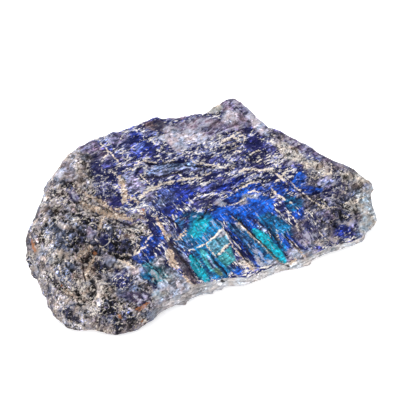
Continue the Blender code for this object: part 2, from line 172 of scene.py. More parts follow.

# Paints: how much of each is pale frost, dark grit, and cream flecks partly painted as glints, how rocky
# its grain is and how much it shines. The colours themselves are properties, under the same names.
PAINTS = {
    "indigo": (0.25, 0.26, 0.3, 0.0, 0.15),
    "vivid_indigo": (0.13, 0.18, 0.11, 0.0, 0.5),
    "dim_indigo": (0.36, 0.24, 0.29, 0.0, 0.1),
    "deep_indigo": (0.05, 0.16, 0.01, 0.0, 0.6),
    "bright_indigo": (0.24, 0.16, 0.12, 0.0, 0.4),
    "dusk": (0.14, 0.2, 0.08, 0.0, 0.4),
    "night": (0.17, 0.35, 0.22, 0.1, 0.2),
    "navy": (0.25, 0.3, 0.26, 0.2, 0.2),
    "plum": (0.34, 0.21, 0.13, 0.3, 0.1),
    "sky": (0.35, 0.11, 0.04, 0.0, 0.2),
    "lilac": (0.34, 0.08, 0.11, 0.0, 0.2),
    "haze": (0.3, 0.1, 0.04, 0.4, 0.7),
    "scoop": (0.45, 0.05, 0.16, 0.6, 0.6),
    "azure": (0.2, 0.16, 0.03, 0.0, 0.8),
    "deep_azure": (0.16, 0.24, 0.05, 0.0, 0.7),
    "teal": (0.2, 0.16, 0.01, 0.0, 0.9),
    "cyan": (0.14, 0.12, 0.01, 0.0, 1.0),
    "sea": (0.2, 0.12, 0.01, 0.0, 0.8),
    "dark_teal": (0.1, 0.26, 0.03, 0.0, 0.6),
    "steel": (0.3, 0.2, 0.04, 0.0, 0.5),
    "speckled_teal": (0.34, 0.27, 0.23, 0.4, 0.3),
    "window": (0.2, 0.1, 0.01, 0.0, 0.7),
    "gold_green": (0.12, 0.1, 0.06, 0.0, 0.8),
    "frosted": (0.4, 0.08, 0.08, 0.5, 0.4),
    # Groove: brown-grey, darkened as painted shade on the wall of the long groove.
    "groove": (0.06, 0.13, 0.04, 0.5, 0.1),
    "rock": (0.4, 0.26, 0.2, 1.0, 0.1),
    "pale_rock": (0.42, 0.16, 0.24, 1.0, 0.1),
    "dark_rock": (0.16, 0.36, 0.22, 1.0, 0.1),
    "blue_rock": (0.2, 0.21, 0.2, 1.0, 0.2),
    "brown_rock": (0.3, 0.27, 0.24, 1.0, 0.0),
    "granular": (0.44, 0.32, 0.28, 1.0, 0.1),
    "cream_rock": (0.45, 0.14, 0.34, 0.9, 0.0),
    "grey_rock": (0.34, 0.22, 0.2, 0.9, 0.5),
    "olive": (0.38, 0.26, 0.2, 0.9, 0.0),
    "tip": (0.4, 0.04, 0.04, 0.8, 0.8),
    "tip_cream": (0.4, 0.03, 0.24, 0.8, 0.5),
    "waxy_grey": (0.2, 0.08, 0.05, 0.8, 0.7),
    "waxy_dark": (0.16, 0.12, 0.04, 0.8, 0.7),
    "edge_grey": (0.3, 0.1, 0.04, 0.7, 0.3),
    "edge_pale": (0.3, 0.07, 0.04, 0.7, 0.3),
    "underside": (0.4, 0.26, 0.16, 1.0, 0.0),
}

# Soft patches, each over the ones before: paint, x and y of the middle, half length, half width, turn in
# degrees, and the width of its soft edge. Here and below x and y are places on the plane of the face.
PATCHES = (
    # Wide ground colours, down the sides of the stone too.
    ("rock", -20.0, -20.0, 12.5, 17.0, 0, 1.6), ("rock", -26.0, 0.0, 5.0, 12.0, -10, 2.0),
    ("grey_rock", 22.0, 4.0, 6.5, 8.5, 0, 1.6), ("tip", 28.2, -1.0, 3.2, 9.0, 0, 1.0),
    ("haze", 4.5, 20.5, 8.0, 2.6, 0, 1.2), ("plum", 15.0, 15.6, 9.0, 1.8, -32, 1.0),
    ("haze", -8.0, 17.0, 12.0, 1.8, 12, 0.8), ("frosted", 14.6, -5.6, 1.7, 1.0, 0, 0.6),
    ("frosted", -4.6, -15.4, 5.6, 2.2, 20, 1.0),
    # The rock at the left, from the rim in.
    ("rock", -19.0, -9.8, 9.9, 10.6, 0, 1.6), ("rock", -12.2, -16.6, 4.8, 3.9, 12, 1.0),
    ("rock", -20.6, 2.0, 4.6, 6.6, 0, 1.6), ("pale_rock", -21.2, 5.4, 2.2, 3.6, -38, 1.4),
    ("pale_rock", -23.6, 0.6, 1.5, 3.6, -8, 1.2), ("brown_rock", -19.5, 0.8, 1.5, 2.4, 0, 1.2),
    ("brown_rock", -23.0, -3.7, 2.2, 1.3, 10, 1.0), ("pale_rock", -25.8, -5.4, 1.0, 1.5, 0, 0.8),
    ("blue_rock", -20.9, -6.5, 3.0, 2.6, 10, 1.0), ("dark_rock", -18.9, -7.3, 1.1, 1.5, 20, 0.8),
    ("dark_rock", -16.4, -3.7, 3.2, 0.9, -16, 0.5), ("dark_rock", -12.7, -5.6, 3.1, 2.1, 0, 0.7),
    ("blue_rock", -13.6, -4.1, 1.1, 0.6, 0, 0.6), ("navy", -14.9, -6.6, 1.3, 1.2, 0, 0.4),
    # The long dark_rock patch at (-12.1, -8.3) is painted shadow under the lumps above it.
    ("dark_rock", -12.1, -8.3, 2.5, 0.8, -14, 0.6), ("dark_rock", -9.9, -5.6, 1.1, 1.7, 0, 0.7),
    ("brown_rock", -17.8, -10.9, 1.6, 2.8, 0, 1.0), ("olive", -21.4, -10.9, 1.4, 1.5, 0, 0.8),
    ("pale_rock", -23.4, -9.2, 1.5, 1.6, 20, 1.0), ("dark_rock", -15.9, -11.0, 1.1, 1.3, 0, 0.8),
    ("dark_rock", -10.9, -9.2, 1.5, 0.7, -10, 0.5), ("cream_rock", -12.3, -10.4, 2.8, 0.8, -19, 0.6),
    ("frosted", -10.0, -11.9, 0.7, 1.3, 0, 0.5), ("navy", -12.3, -12.1, 1.9, 0.9, -15, 0.8),
    ("blue_rock", -20.6, -12.9, 1.9, 1.7, 0, 0.6), ("dark_rock", -23.2, -13.3, 1.3, 0.5, -50, 0.5),
    ("granular", -16.0, -16.0, 3.8, 3.0, 0, 1.4), ("brown_rock", -19.8, -15.7, 1.9, 1.1, -12, 0.8),
    ("pale_rock", -21.3, -17.7, 1.6, 1.4, 0, 1.0), ("dark_rock", -19.9, -19.8, 2.0, 0.8, -25, 0.6),
    ("dark_rock", -14.0, -18.0, 1.4, 1.9, 0, 0.9), ("blue_rock", -11.6, -14.6, 2.8, 1.5, -25, 1.0),
    ("plum", -10.6, -15.5, 2.2, 0.7, -12, 0.7), ("dark_rock", -11.0, -18.8, 1.0, 1.1, 0, 0.6),
    ("dark_rock", -12.6, -21.0, 0.7, 1.4, 0, 0.5), ("pale_rock", -18.6, -21.6, 2.8, 0.7, -12, 0.6),
    # Above the dusty band.
    ("night", -15.0, 5.4, 3.0, 1.8, 0, 0.9), ("dark_rock", -16.6, 2.5, 1.1, 1.3, -30, 0.7),
    ("navy", -15.0, 2.0, 2.6, 1.6, -42, 0.8), ("deep_indigo", -13.4, 0.1, 1.1, 0.9, -40, 0.5),
    ("plum", -17.4, 8.2, 2.0, 1.2, -28, 0.8), ("plum", -14.5, 7.0, 1.8, 1.1, 0, 0.8),
    ("indigo", -13.6, 6.2, 1.5, 0.8, 0, 0.7), ("dim_indigo", -14.2, 10.6, 2.6, 0.8, 26, 0.8),
    ("pale_rock", -18.9, 3.6, 1.1, 1.6, 10, 0.6), ("cream_rock", -15.9, 0.0, 1.0, 0.5, -30, 0.4),
    ("vivid_indigo", -10.9, 10.9, 1.3, 1.0, -20, 0.6), ("vivid_indigo", -9.5, 8.5, 1.9, 1.1, 24, 0.7),
    ("indigo", -7.6, 11.2, 1.8, 1.4, 0, 0.8), ("groove", -8.0, 13.7, 2.5, 0.8, 14, 0.5),
    ("dim_indigo", -5.0, 9.3, 2.2, 0.8, 25, 0.7), ("lilac", -13.1, 10.7, 1.3, 0.9, 20, 0.6),
    ("dim_indigo", -12.8, 9.4, 1.3, 0.8, 0, 0.6),
    # The scoop and the haze at the back.
    ("haze", -2.0, 14.4, 4.6, 1.4, 8, 0.8), ("scoop", -2.4, 12.7, 2.9, 1.2, -6, 0.9),
    ("scoop", -4.2, 11.0, 1.7, 1.1, -30, 0.6), ("haze", 1.3, 14.6, 2.2, 1.3, 10, 0.8),
    ("plum", 4.4, 14.5, 2.2, 1.0, -4, 0.7), ("plum", 1.3, 13.4, 1.7, 0.8, 12, 0.7),
    ("dim_indigo", -1.0, 10.4, 2.8, 0.9, 22, 0.7), ("night", 0.9, 9.2, 2.6, 1.1, 10, 0.7),
    ("dim_indigo", 4.2, 12.2, 2.4, 1.6, 22, 0.8), ("navy", 3.6, 9.8, 2.6, 1.0, 20, 0.7),
    ("deep_indigo", 8.4, 12.4, 2.2, 1.4, -4, 0.6), ("night", 8.3, 9.9, 2.6, 1.3, 22, 0.8),
    ("dim_indigo", 10.2, 12.8, 0.8, 1.0, 0, 0.7), ("dim_indigo", 7.4, 7.1, 3.2, 0.7, 14, 0.6),
    # The peak.
    ("haze", 5.2, 17.2, 2.8, 2.6, 0, 0.8), ("scoop", 3.9, 17.2, 1.1, 1.2, 0, 0.8),
    ("plum", 4.4, 19.3, 2.0, 0.8, 0, 0.6), ("plum", 7.2, 17.4, 0.9, 1.8, 40, 0.7),
    ("tip_cream", 1.0, 17.9, 1.5, 0.9, 30, 0.4), ("scoop", 8.6, 15.8, 2.0, 0.7, -38, 0.7),
    # Between the ledges.
    ("sky", -5.4, 6.3, 4.6, 0.9, 13, 0.6), ("dim_indigo", -8.4, 5.6, 1.3, 0.7, 20, 0.5),
    ("sky", -5.9, 5.9, 1.5, 0.5, 26, 0.4), ("night", -4.2, 5.5, 4.8, 0.5, 15, 0.4),
    ("lilac", -10.6, 3.6, 1.7, 1.6, -35, 0.5), ("dim_indigo", -8.0, 0.6, 1.9, 2.1, 30, 0.9),
    ("plum", -8.4, 1.4, 1.2, 1.0, 30, 0.7), ("vivid_indigo", -3.4, 1.8, 2.6, 1.7, 45, 0.9),
    ("vivid_indigo", -5.6, -0.8, 1.3, 0.9, -50, 0.6), ("vivid_indigo", -4.3, -1.2, 1.4, 0.7, -48, 0.5),
    ("night", 1.0, 4.3, 2.6, 1.0, 18, 0.8), ("vivid_indigo", 5.2, 5.4, 1.9, 0.8, 26, 0.6),
    ("vivid_indigo", 3.0, 3.6, 1.4, 0.6, 24, 0.5), ("night", 0.4, 1.2, 1.9, 0.9, 30, 0.8),
    # Smaller touches on the cleaved face.
    ("bright_indigo", -5.3, 1.3, 1.2, 1.3, 40, 0.8), ("bright_indigo", -6.4, -0.3, 0.8, 1.0, 0, 0.6),
    ("lilac", -4.9, -4.7, 1.0, 0.6, -40, 0.5), ("dim_indigo", 6.2, 8.5, 1.7, 0.8, 10, 0.7),
    ("dim_indigo", 0.0, 6.4, 2.4, 0.5, 15, 0.4), ("plum", -10.6, -2.1, 1.0, 0.6, -20, 0.5),
    ("dusk", 2.0, 8.3, 1.5, 0.6, 12, 0.5), ("dusk", 1.9, 5.1, 1.5, 0.6, 20, 0.5),
    ("dusk", 2.6, 6.8, 1.3, 0.35, 15, 0.3), ("dusk", 9.0, 9.1, 1.1, 0.5, 20, 0.5),
    ("dusk", 0.4, 3.3, 1.3, 0.5, 20, 0.4), ("dusk", -0.9, 0.2, 1.0, 0.6, 30, 0.5),
    ("vivid_indigo", -2.3, 1.6, 1.0, 0.9, 40, 0.6), ("dusk", -13.3, 8.0, 1.0, 0.6, 20, 0.5),
    ("dusk", -14.8, 6.2, 1.0, 0.7, 0, 0.5), ("dim_indigo", -9.3, 11.7, 1.0, 0.6, 20, 0.5),
    ("dim_indigo", 0.6, 9.8, 1.1, 0.4, 15, 0.4), ("plum", -14.6, 0.1, 0.8, 0.6, 0, 0.5),
    ("brown_rock", -10.4, -2.3, 0.9, 0.5, -20, 0.4), ("lilac", -6.5, -0.4, 0.9, 0.6, 30, 0.5),
    ("night", -9.0, -3.8, 0.8, 0.5, 0, 0.4), ("dusk", -9.2, 5.4, 0.9, 0.5, 15, 0.4),
    ("dusk", 3.4, 5.3, 1.0, 0.5, 20, 0.4), ("pale_rock", -24.8, -12.9, 0.9, 0.9, 0, 0.6),
    ("lilac", 22.9, 1.9, 0.8, 0.5, 0, 0.5),
    # The flash.
    ("azure", 7.6, 1.9, 3.8, 2.4, 6, 0.9), ("deep_azure", 8.6, 5.0, 2.4, 0.8, 20, 0.6),
    ("deep_azure", 4.8, 1.4, 2.0, 0.9, 24, 0.6), ("azure", 4.4, -0.6, 2.6, 1.0, -10, 0.6),
    ("azure", 7.4, 0.3, 3.0, 0.9, -4, 0.5), ("frosted", 7.6, 2.9, 1.2, 0.5, 25, 0.5),
    ("frosted", 6.7, 1.8, 0.8, 0.6, 30, 0.5), ("frosted", 2.6, 0.8, 1.0, 0.5, 10, 0.4),
    ("dark_teal", 11.6, -1.1, 2.5, 1.5, -24, 0.7), ("teal", 12.8, -2.0, 1.2, 0.7, -30, 0.5),
    ("dark_teal", -2.0, -1.9, 1.3, 0.8, -10, 0.6), ("teal", 0.2, -2.9, 2.6, 1.9, -8, 0.6),
    ("cyan", -0.6, -2.7, 1.2, 0.8, 30, 0.5), ("teal", 1.0, -8.6, 3.4, 2.2, -40, 0.6),
    ("dark_teal", 8.4, -4.4, 5.0, 2.6, -30, 0.8), ("cream_rock", 6.4, -8.9, 1.1, 0.6, 10, 0.4),
    ("teal", -1.2, -4.7, 1.9, 1.3, 0, 0.6), ("cyan", -1.3, -4.0, 0.8, 0.6, 0, 0.5),
    ("azure", 2.3, -1.6, 1.2, 0.9, -30, 0.6), ("azure", 3.5, -1.4, 1.3, 1.0, 0, 0.5),
    ("steel", -3.1, -6.2, 1.3, 0.6, -45, 0.4), ("azure", 15.2, 6.9, 1.3, 1.4, 0, 0.5),
    ("dim_indigo", 10.4, 6.2, 1.2, 0.6, 20, 0.5), ("deep_azure", 12.0, 5.4, 1.6, 1.2, -30, 0.8),
    ("dark_teal", 14.4, 3.3, 1.8, 1.2, -50, 0.6), ("deep_azure", 15.0, 1.2, 0.9, 0.7, 0, 0.5),
    ("teal", 11.8, -2.7, 1.0, 0.8, -50, 0.5), ("plum", 13.1, -6.2, 1.3, 0.7, -50, 0.5),
    ("teal", 10.6, 0.0, 1.4, 0.7, 0, 0.6), ("teal", 13.0, -1.2, 1.1, 0.9, 0, 0.5),
    ("dark_teal", 11.6, 0.2, 1.6, 1.0, 0, 0.5),
    # At the front left of the flash.
    ("deep_azure", -8.4, -6.3, 1.3, 1.3, 0, 0.7), ("deep_azure", -8.3, -8.8, 1.6, 1.0, 0, 0.7),
    ("azure", -6.5, -5.2, 0.7, 0.35, -55, 0.3), ("deep_azure", -7.2, -4.2, 0.7, 0.5, -50, 0.4),
    ("speckled_teal", -7.4, -11.2, 1.8, 2.3, 10, 1.0), ("frosted", -4.6, -11.8, 1.9, 1.0, -30, 0.8),
    ("frosted", -4.0, -13.0, 3.0, 0.8, 12, 0.6), ("frosted", 10.0, -8.1, 2.2, 0.8, 18, 0.6),
    ("scoop", -10.7, -11.4, 1.5, 0.8, -15, 0.5), ("cream_rock", -10.4, -4.0, 0.8, 0.5, -30, 0.4),
    ("frosted", -6.2, -9.4, 0.9, 0.7, 0, 0.6),
    # Smaller touches on the rock at the left and on the face.
    ("brown_rock", -18.4, -13.4, 1.3, 1.0, 0, 0.8), ("dark_rock", -20.2, 1.0, 0.8, 1.2, 0, 0.7),
    ("sky", -6.4, 5.8, 1.4, 0.5, 15, 0.4), ("bright_indigo", -6.5, -0.5, 1.0, 0.9, 0, 0.5),
    ("pale_rock", -16.0, 0.1, 1.0, 0.6, -30, 0.5), ("pale_rock", -14.3, -11.7, 0.9, 0.7, 0, 0.5),
    ("pale_rock", -8.8, -18.2, 0.9, 0.8, 0, 0.6), ("scoop", -6.5, 12.0, 1.2, 0.7, 20, 0.6),
    ("scoop", -5.2, 13.8, 1.3, 0.6, 10, 0.6), ("night", -9.1, -2.3, 0.8, 0.7, 0, 0.5),
    ("teal", -8.9, -12.4, 0.8, 0.6, 0, 0.6), ("sky", -8.9, -11.1, 0.7, 0.6, 0, 0.5),
    ("pale_rock", -19.9, -3.5, 1.0, 0.7, -20, 0.5), ("pale_rock", -15.4, -17.4, 1.0, 0.7, 0, 0.5),
    ("steel", -3.6, -3.1, 0.8, 0.5, -45, 0.5), ("tip", -0.8, -13.1, 1.3, 0.6, 10, 0.5),
    ("pale_rock", -21.3, -5.2, 1.2, 0.8, 0, 0.6), ("rock", -23.9, -4.0, 1.0, 0.8, 0, 0.6),
    ("bright_indigo", -9.0, -8.3, 0.8, 0.6, 0, 0.5), ("scoop", 3.4, 16.5, 1.3, 1.0, 0, 0.7),
    ("dark_teal", -0.9, -1.4, 0.8, 0.5, 0, 0.4), ("azure", 4.7, -2.2, 0.8, 0.6, -40, 0.5),
    ("speckled_teal", -6.3, -12.2, 0.9, 0.8, 0, 0.5), ("pale_rock", -23.6, -12.5, 0.8, 0.8, 0, 0.6),
    # The rock at the right.
    ("grey_rock", 20.0, 5.0, 4.4, 5.6, 10, 1.2), ("grey_rock", 17.0, -1.6, 3.0, 2.6, 0, 1.0),
    ("plum", 16.4, -2.6, 1.8, 1.4, 0, 0.8), ("cream_rock", 14.0, 11.4, 3.6, 1.5, -32, 0.8),
    ("plum", 14.2, 13.5, 3.4, 0.5, -30, 0.5), ("grey_rock", 11.6, 14.6, 1.6, 0.6, -20, 0.5),
    ("cream_rock", 18.4, 9.9, 2.0, 0.8, -20, 0.7), ("lilac", 18.4, 7.7, 1.5, 0.6, 20, 0.5),
    ("olive", 22.6, 8.4, 1.5, 0.8, -20, 0.7), ("olive", 24.6, 6.6, 0.8, 1.1, 0, 0.6),
    ("olive", 22.8, 3.0, 1.4, 1.0, 0, 0.7), ("plum", 18.6, 0.8, 1.2, 0.8, -10, 0.7),
    ("vivid_indigo", 21.2, -1.6, 1.5, 1.0, 0, 0.7), ("indigo", 22.0, -2.6, 1.2, 0.7, 10, 0.5),
    ("night", 17.4, 5.3, 0.8, 0.9, 0, 0.5), ("lilac", 20.0, 7.2, 1.0, 0.6, 10, 0.6),
    ("night", 21.3, 7.4, 0.7, 1.4, 20, 0.6), ("pale_rock", 23.8, 6.4, 0.8, 0.6, 0, 0.6),
    ("navy", 16.6, -0.4, 1.1, 1.3, 0, 0.7), ("lilac", 18.9, 3.0, 1.0, 0.7, 20, 0.6),
    ("grey_rock", 18.3, -1.9, 1.2, 0.6, 0, 0.6), ("plum", 20.6, 1.6, 1.2, 0.8, 0, 0.6),
    ("sky", 23.9, -1.9, 1.1, 0.7, 10, 0.5), ("tip", 25.6, 1.9, 1.6, 4.0, 6, 0.8),
    ("tip_cream", 25.3, 8.3, 1.5, 1.1, -20, 0.7), ("dark_rock", 21.5, 1.3, 1.3, 1.0, 0, 0.6),
    ("tip", 24.6, 0.0, 0.9, 1.4, 0, 0.6), ("lilac", 22.9, -0.2, 0.9, 0.7, 0, 0.5),
    ("dusk", 14.7, 9.7, 1.2, 0.7, -20, 0.5), ("pale_rock", 17.2, -3.8, 1.2, 0.6, 10, 0.5),
    ("lilac", 18.9, 5.8, 1.0, 0.6, 0, 0.5), ("navy", 18.8, 4.0, 1.0, 0.5, 0, 0.5),
    ("dusk", 10.3, 12.4, 1.1, 0.9, 0, 0.5), ("dusk", 13.3, 9.7, 0.8, 0.5, 0, 0.4),
    ("grey_rock", 12.8, -7.2, 0.9, 0.5, 20, 0.5), ("azure", 17.4, 5.4, 0.8, 0.6, 0, 0.5),
    ("plum", 13.2, 9.7, 0.9, 0.6, 0, 0.4), ("dark_rock", 18.0, 2.9, 1.3, 0.9, 0, 0.6),
    ("dark_rock", 20.3, 1.5, 1.2, 0.8, 0, 0.6), ("night", 19.6, 4.9, 1.2, 0.8, 10, 0.6),
    ("deep_azure", 16.5, 5.3, 1.0, 0.8, 0, 0.5), ("waxy_dark", 24.0, 6.0, 1.2, 0.9, 0, 0.6),
    ("tip", 25.2, 3.4, 0.8, 1.2, 0, 0.6),
    # Last touches, most of them on the rock at the left.
    ("rock", -23.7, 1.2, 0.9, 0.8, 0, 0.5), ("waxy_grey", -21.4, 4.3, 1.8, 1.2, -38, 0.6),
    ("frosted", -22.6, 2.7, 0.8, 0.9, 0, 0.5), ("plum", -20.2, 0.0, 0.8, 1.0, 0, 0.5),
    ("night", -12.6, -13.2, 1.5, 0.9, -20, 0.5), ("waxy_grey", -14.6, -9.4, 1.3, 0.7, -20, 0.5),
    ("cream_rock", -18.2, -1.4, 1.0, 0.5, -10, 0.4), ("brown_rock", -23.9, -8.6, 0.7, 1.0, 0, 0.5),
    ("rock", -19.5, -5.9, 1.1, 0.9, 0, 0.6), ("brown_rock", -11.3, -5.5, 0.8, 0.5, 0, 0.4),
    ("cream_rock", -12.2, 3.6, 0.6, 0.6, 0, 0.4), ("tip", -6.6, -15.2, 1.4, 0.7, 20, 0.5),
    ("tip", -5.1, -12.3, 0.9, 0.6, 20, 0.5), ("sky", -6.1, 0.1, 0.6, 0.7, 30, 0.5),
    ("dusk", -0.8, 3.7, 1.6, 0.8, 20, 0.6), ("bright_indigo", -10.0, 9.0, 0.9, 0.6, 20, 0.5),
)

# Long narrow stripes with sharper edges: paint, half width, points of the line.
STRIPES = (
    ("steel", 0.35, ((-4.8, -5.0), (-2.9, -6.4), (-1.6, -7.4))),
    # The groove stripe paints the wall of the long groove darker, as painted shade.
    ("groove", 0.75, ((-5.4, -6.4), (-4.0, -8.4), (-2.6, -10.4), (-1.4, -12.1))),
    ("sky", 0.36, ((-4.6, -6.9), (-3.4, -7.9), (-2.2, -8.9))),
    ("cyan", 0.85, ((-1.9, -8.3), (-0.7, -9.9), (0.4, -11.5))),
    ("dark_teal", 0.30, ((-1.4, -7.2), (0.0, -9.0), (1.6, -11.0))),
    ("sea", 0.55, ((-0.6, -6.9), (0.8, -8.6), (2.1, -10.2))),
    ("sky", 0.22, ((0.4, -7.6), (1.4, -9.2), (2.2, -10.3))),
    ("gold_green", 0.45, ((1.8, -9.7), (2.5, -10.5))),
    ("dark_teal", 0.30, ((1.5, -8.4), (2.6, -9.8), (3.4, -10.8))),
    ("azure", 0.55, ((4.3, -9.3), (5.4, -10.0))), ("steel", 0.50, ((3.4, -8.8), (4.4, -9.4))),
    ("deep_azure", 0.45, ((3.2, -2.4), (4.8, -4.2), (6.6, -6.4), (8.2, -8.6))),
    ("steel", 0.55, ((4.6, -2.6), (6.0, -3.8), (7.8, -5.8), (9.4, -7.6))),
    ("frosted", 0.30, ((5.0, -1.6), (6.0, -2.6))), ("frosted", 0.32, ((7.6, -6.6), (8.6, -8.2))),
    ("azure", 0.75, ((6.2, -0.6), (7.4, -2.0), (8.4, -3.0))),
    ("cyan", 0.85, ((7.8, -2.6), (9.2, -4.2), (10.8, -5.8), (12.0, -7.0))),
    ("sky", 0.30, ((8.3, -1.9), (9.5, -2.9))),
    ("dark_teal", 0.35, ((9.8, -2.0), (11.2, -3.6), (12.6, -5.4))),
    ("azure", 0.35, ((11.4, -3.0), (12.4, -4.1), (13.0, -4.9))),
    ("deep_azure", 0.30, ((12.6, -2.6), (13.6, -3.6), (14.2, -4.3))),
)

# Plates with straight sides: paint, how far the plate stands up, corners counterclockwise.
PLATES = (
    ("sea", 0.0, ((1.9, -7.6), (3.1, -9.2), (4.6, -7.7), (4.0, -5.7))),
    ("window", 0.12, ((0.1, -5.6), (1.8, -7.5), (4.0, -5.2), (3.0, -3.0))),
    ("frosted", 0.0, ((0.6, -5.1), (3.3, -4.1), (3.0, -3.1))),
    ("haze", 0.25, ((-17.9, -5.7), (-16.9, -7.4), (-16.1, -5.7), (-17.4, -4.6))),
)

# Veins of cream, thin layers of tan dust, and open cracks, painted near black as shadow: half width, points
# of the line.
VEINS = (
    (0.20, ((-10.5, 0.6), (-9.0, 2.1), (-7.8, 2.9), (-6.0, 3.8), (-4.2, 4.1))),
    (0.24, ((-4.2, 4.1), (-2.6, 5.0), (-0.8, 5.5), (1.6, 6.6))),
    (0.14, ((-9.9, 5.0), (-9.2, 4.1), (-8.3, 3.4))), (0.14, ((-11.7, 5.9), (-10.6, 5.2), (-9.9, 5.0))),
    (0.13, ((-11.1, 6.1), (-9.2, 7.0), (-7.7, 7.3), (-5.8, 7.6), (-4.1, 8.2))),
    (0.11, ((-16.3, 9.6), (-15.2, 8.4), (-14.2, 7.8), (-13.2, 6.4))),
    (0.12, ((-16.1, 6.3), (-14.9, 7.9), (-15.2, 8.6))), (0.10, ((-14.6, 4.9), (-13.6, 4.4), (-13.2, 3.4))),
    (0.15, ((-2.6, 9.1), (-1.4, 7.9), (0.9, 7.7), (3.3, 7.5), (4.6, 7.9))),
    (0.20, ((5.0, 7.2), (6.2, 7.7), (7.6, 8.1), (8.9, 7.9), (10.4, 8.2), (12.0, 8.5))),
    (0.16, ((5.9, 8.9), (7.0, 9.8))), (0.17, ((4.6, 3.6), (5.8, 4.6), (7.3, 5.6), (8.8, 6.0))),
    (0.16, ((6.9, 3.8), (7.8, 4.2), (8.9, 4.0))), (0.12, ((3.4, 0.8), (5.2, 1.8), (6.6, 2.9))),
    (0.14, ((12.8, 7.0), (14.3, 5.4), (16.1, 4.2), (19.5, 2.2))),
    (0.22, ((10.9, 8.1), (12.0, 7.0), (13.0, 5.9))), (0.19, ((13.1, 8.7), (12.0, 7.0), (10.8, 5.9))),
    (0.13, ((-16.2, -6.9), (-15.7, -7.8), (-14.5, -8.7))),
    (0.10, ((-14.6, -6.4), (-13.7, -6.6), (-13.9, -7.3))),
    (0.12, ((-11.0, -6.0), (-9.8, -6.2), (-10.0, -7.2), (-10.9, -7.9))),
    (0.18, ((-11.5, -9.0), (-10.0, -8.5), (-8.5, -6.7))),
    (0.13, ((-9.8, -4.5), (-8.6, -5.0), (-8.0, -4.6))),
    (0.12, ((-13.9, -8.4), (-12.7, -8.9), (-11.5, -9.1))),
    (0.22, ((10.7, 4.9), (11.1, 3.9), (12.7, 2.9), (13.9, 2.5))),
    (0.15, ((12.0, 1.5), (13.5, 0.4), (14.1, -0.7), (14.7, -2.0), (15.6, -3.6))),
    (0.13, ((17.3, -1.3), (18.7, -2.6), (19.6, -3.5))),
    (0.14, ((16.5, 6.9), (18.2, 7.9), (19.8, 8.7), (20.0, 10.4))),
    (0.12, ((18.0, 2.4), (21.0, 3.0), (23.6, 4.3), (26.0, 5.4))),
    (0.17, ((-12.2, -8.4), (-10.8, -8.9), (-10.0, -7.8))),
    (0.16, ((-9.0, -6.6), (-8.4, -5.4), (-7.6, -4.9))), (0.17, ((2.8, 12.4), (4.7, 13.2), (6.3, 13.7))),
    (0.16, ((2.4, 11.9), (4.3, 12.6), (5.9, 13.4))), (0.16, ((3.7, 11.5), (5.0, 12.0), (6.1, 12.7))),
    (0.17, ((4.3, 11.0), (5.6, 11.5))), (0.16, ((2.9, 11.0), (4.2, 11.7))),
    (0.14, ((3.6, 13.6), (5.8, 14.3))), (0.14, ((6.1, 12.3), (6.5, 13.6))),
    (0.15, ((4.6, 10.3), (5.9, 10.8))), (0.14, ((7.2, 10.6), (8.8, 11.2))),
    (0.13, ((8.0, 9.2), (9.6, 10.0))), (0.14, ((15.8, 9.7), (16.8, 9.9), (17.8, 10.4))),
    (0.17, ((-2.3, -7.3), (-0.5, -6.0), (0.1, -5.6))), (0.20, ((0.1, -5.6), (1.6, -4.4), (3.0, -3.1))),
    (0.18, ((1.8, -7.5), (3.0, -6.1), (4.2, -5.2))), (0.16, ((0.1, -5.6), (1.0, -6.7), (1.8, -7.5))),
    (0.12, ((3.0, -3.1), (4.2, -5.2))), (0.12, ((1.2, -11.2), (1.9, -11.8))),
    (0.12, ((3.5, -10.6), (4.2, -9.9))), (0.12, ((-13.6, -9.7), (-11.9, -10.1), (-10.4, -10.7))),
    (0.11, ((-22.4, -13.0), (-21.6, -14.2), (-20.0, -14.9))),
    (0.10, ((-21.7, -12.0), (-21.4, -13.4), (-20.0, -14.0))), (0.10, ((-21.0, -0.2), (-20.6, 1.4))),
    (0.09, ((-19.9, 2.4), (-20.2, 0.2))),
)
DUST = (
    (0.50, ((-18.8, -1.0), (-17.2, -1.5), (-15.2, -2.1), (-13.2, -2.6), (-11.2, -3.1))),
    (0.24, ((-18.2, 0.6), (-15.7, -0.3), (-14.1, -1.3), (-12.6, -1.7))),
    (0.36, ((-13.1, 4.0), (-12.5, 2.2), (-12.1, 0.8), (-12.4, -0.4))),
    (0.26, ((-12.0, 0.6), (-11.0, 0.6), (-10.2, 0.2))),
    (0.30, ((-15.0, -2.8), (-15.5, -4.0), (-15.9, -4.9))),
    (0.28, ((-19.4, -10.4), (-18.4, -9.3), (-17.1, -8.2))),
    (0.26, ((-17.9, -13.6), (-17.4, -11.6), (-16.9, -9.4))),
    (0.55, ((-5.7, -7.6), (-5.0, -8.8), (-4.2, -9.9))),
    (0.20, ((-7.4, -1.9), (-6.6, -3.4), (-6.0, -4.6), (-5.6, -5.6))),
    (0.22, ((-6.0, -4.6), (-4.8, -5.1), (-3.9, -5.4))), (0.14, ((-3.9, -5.4), (-3.2, -4.6), (-2.8, -4.0))),
    (0.13, ((4.6, -0.7), (6.2, -2.2), (7.8, -4.0), (9.8, -5.8), (11.9, -7.5))),
    (0.30, ((6.3, -8.0), (7.4, -9.2))), (0.11, ((4.2, -5.4), (5.4, -6.9), (6.6, -8.5))),
    (0.09, ((10.8, -2.9), (11.8, -4.1))), (0.13, ((13.2, -3.8), (14.4, -5.2), (15.2, -6.0))),
    (0.25, ((13.0, -7.3), (13.9, -6.6))), (0.22, ((-9.6, -1.5), (-9.2, -1.2))),
    (0.30, ((-20.8, -15.4), (-19.4, -16.0))), (0.25, ((-12.4, -10.0), (-11.0, -10.6))),
    (0.20, ((-3.2, -11.0), (-2.0, -12.4))),
)
RUST = (
    (0.26, ((-25.8, -7.9), (-25.4, -9.9))), (0.18, ((-9.7, -1.0), (-9.3, -0.8))),
    (0.22, ((-16.8, -9.2), (-16.4, -8.8))), (0.24, ((-12.5, -18.3), (-12.3, -18.9))),
    (0.20, ((-10.2, -17.3), (-9.4, -16.9), (-8.3, -16.1))), (0.16, ((-21.2, -14.8), (-20.8, -15.1))),
    (0.14, ((-9.5, -18.9), (-9.2, -19.2))),
)
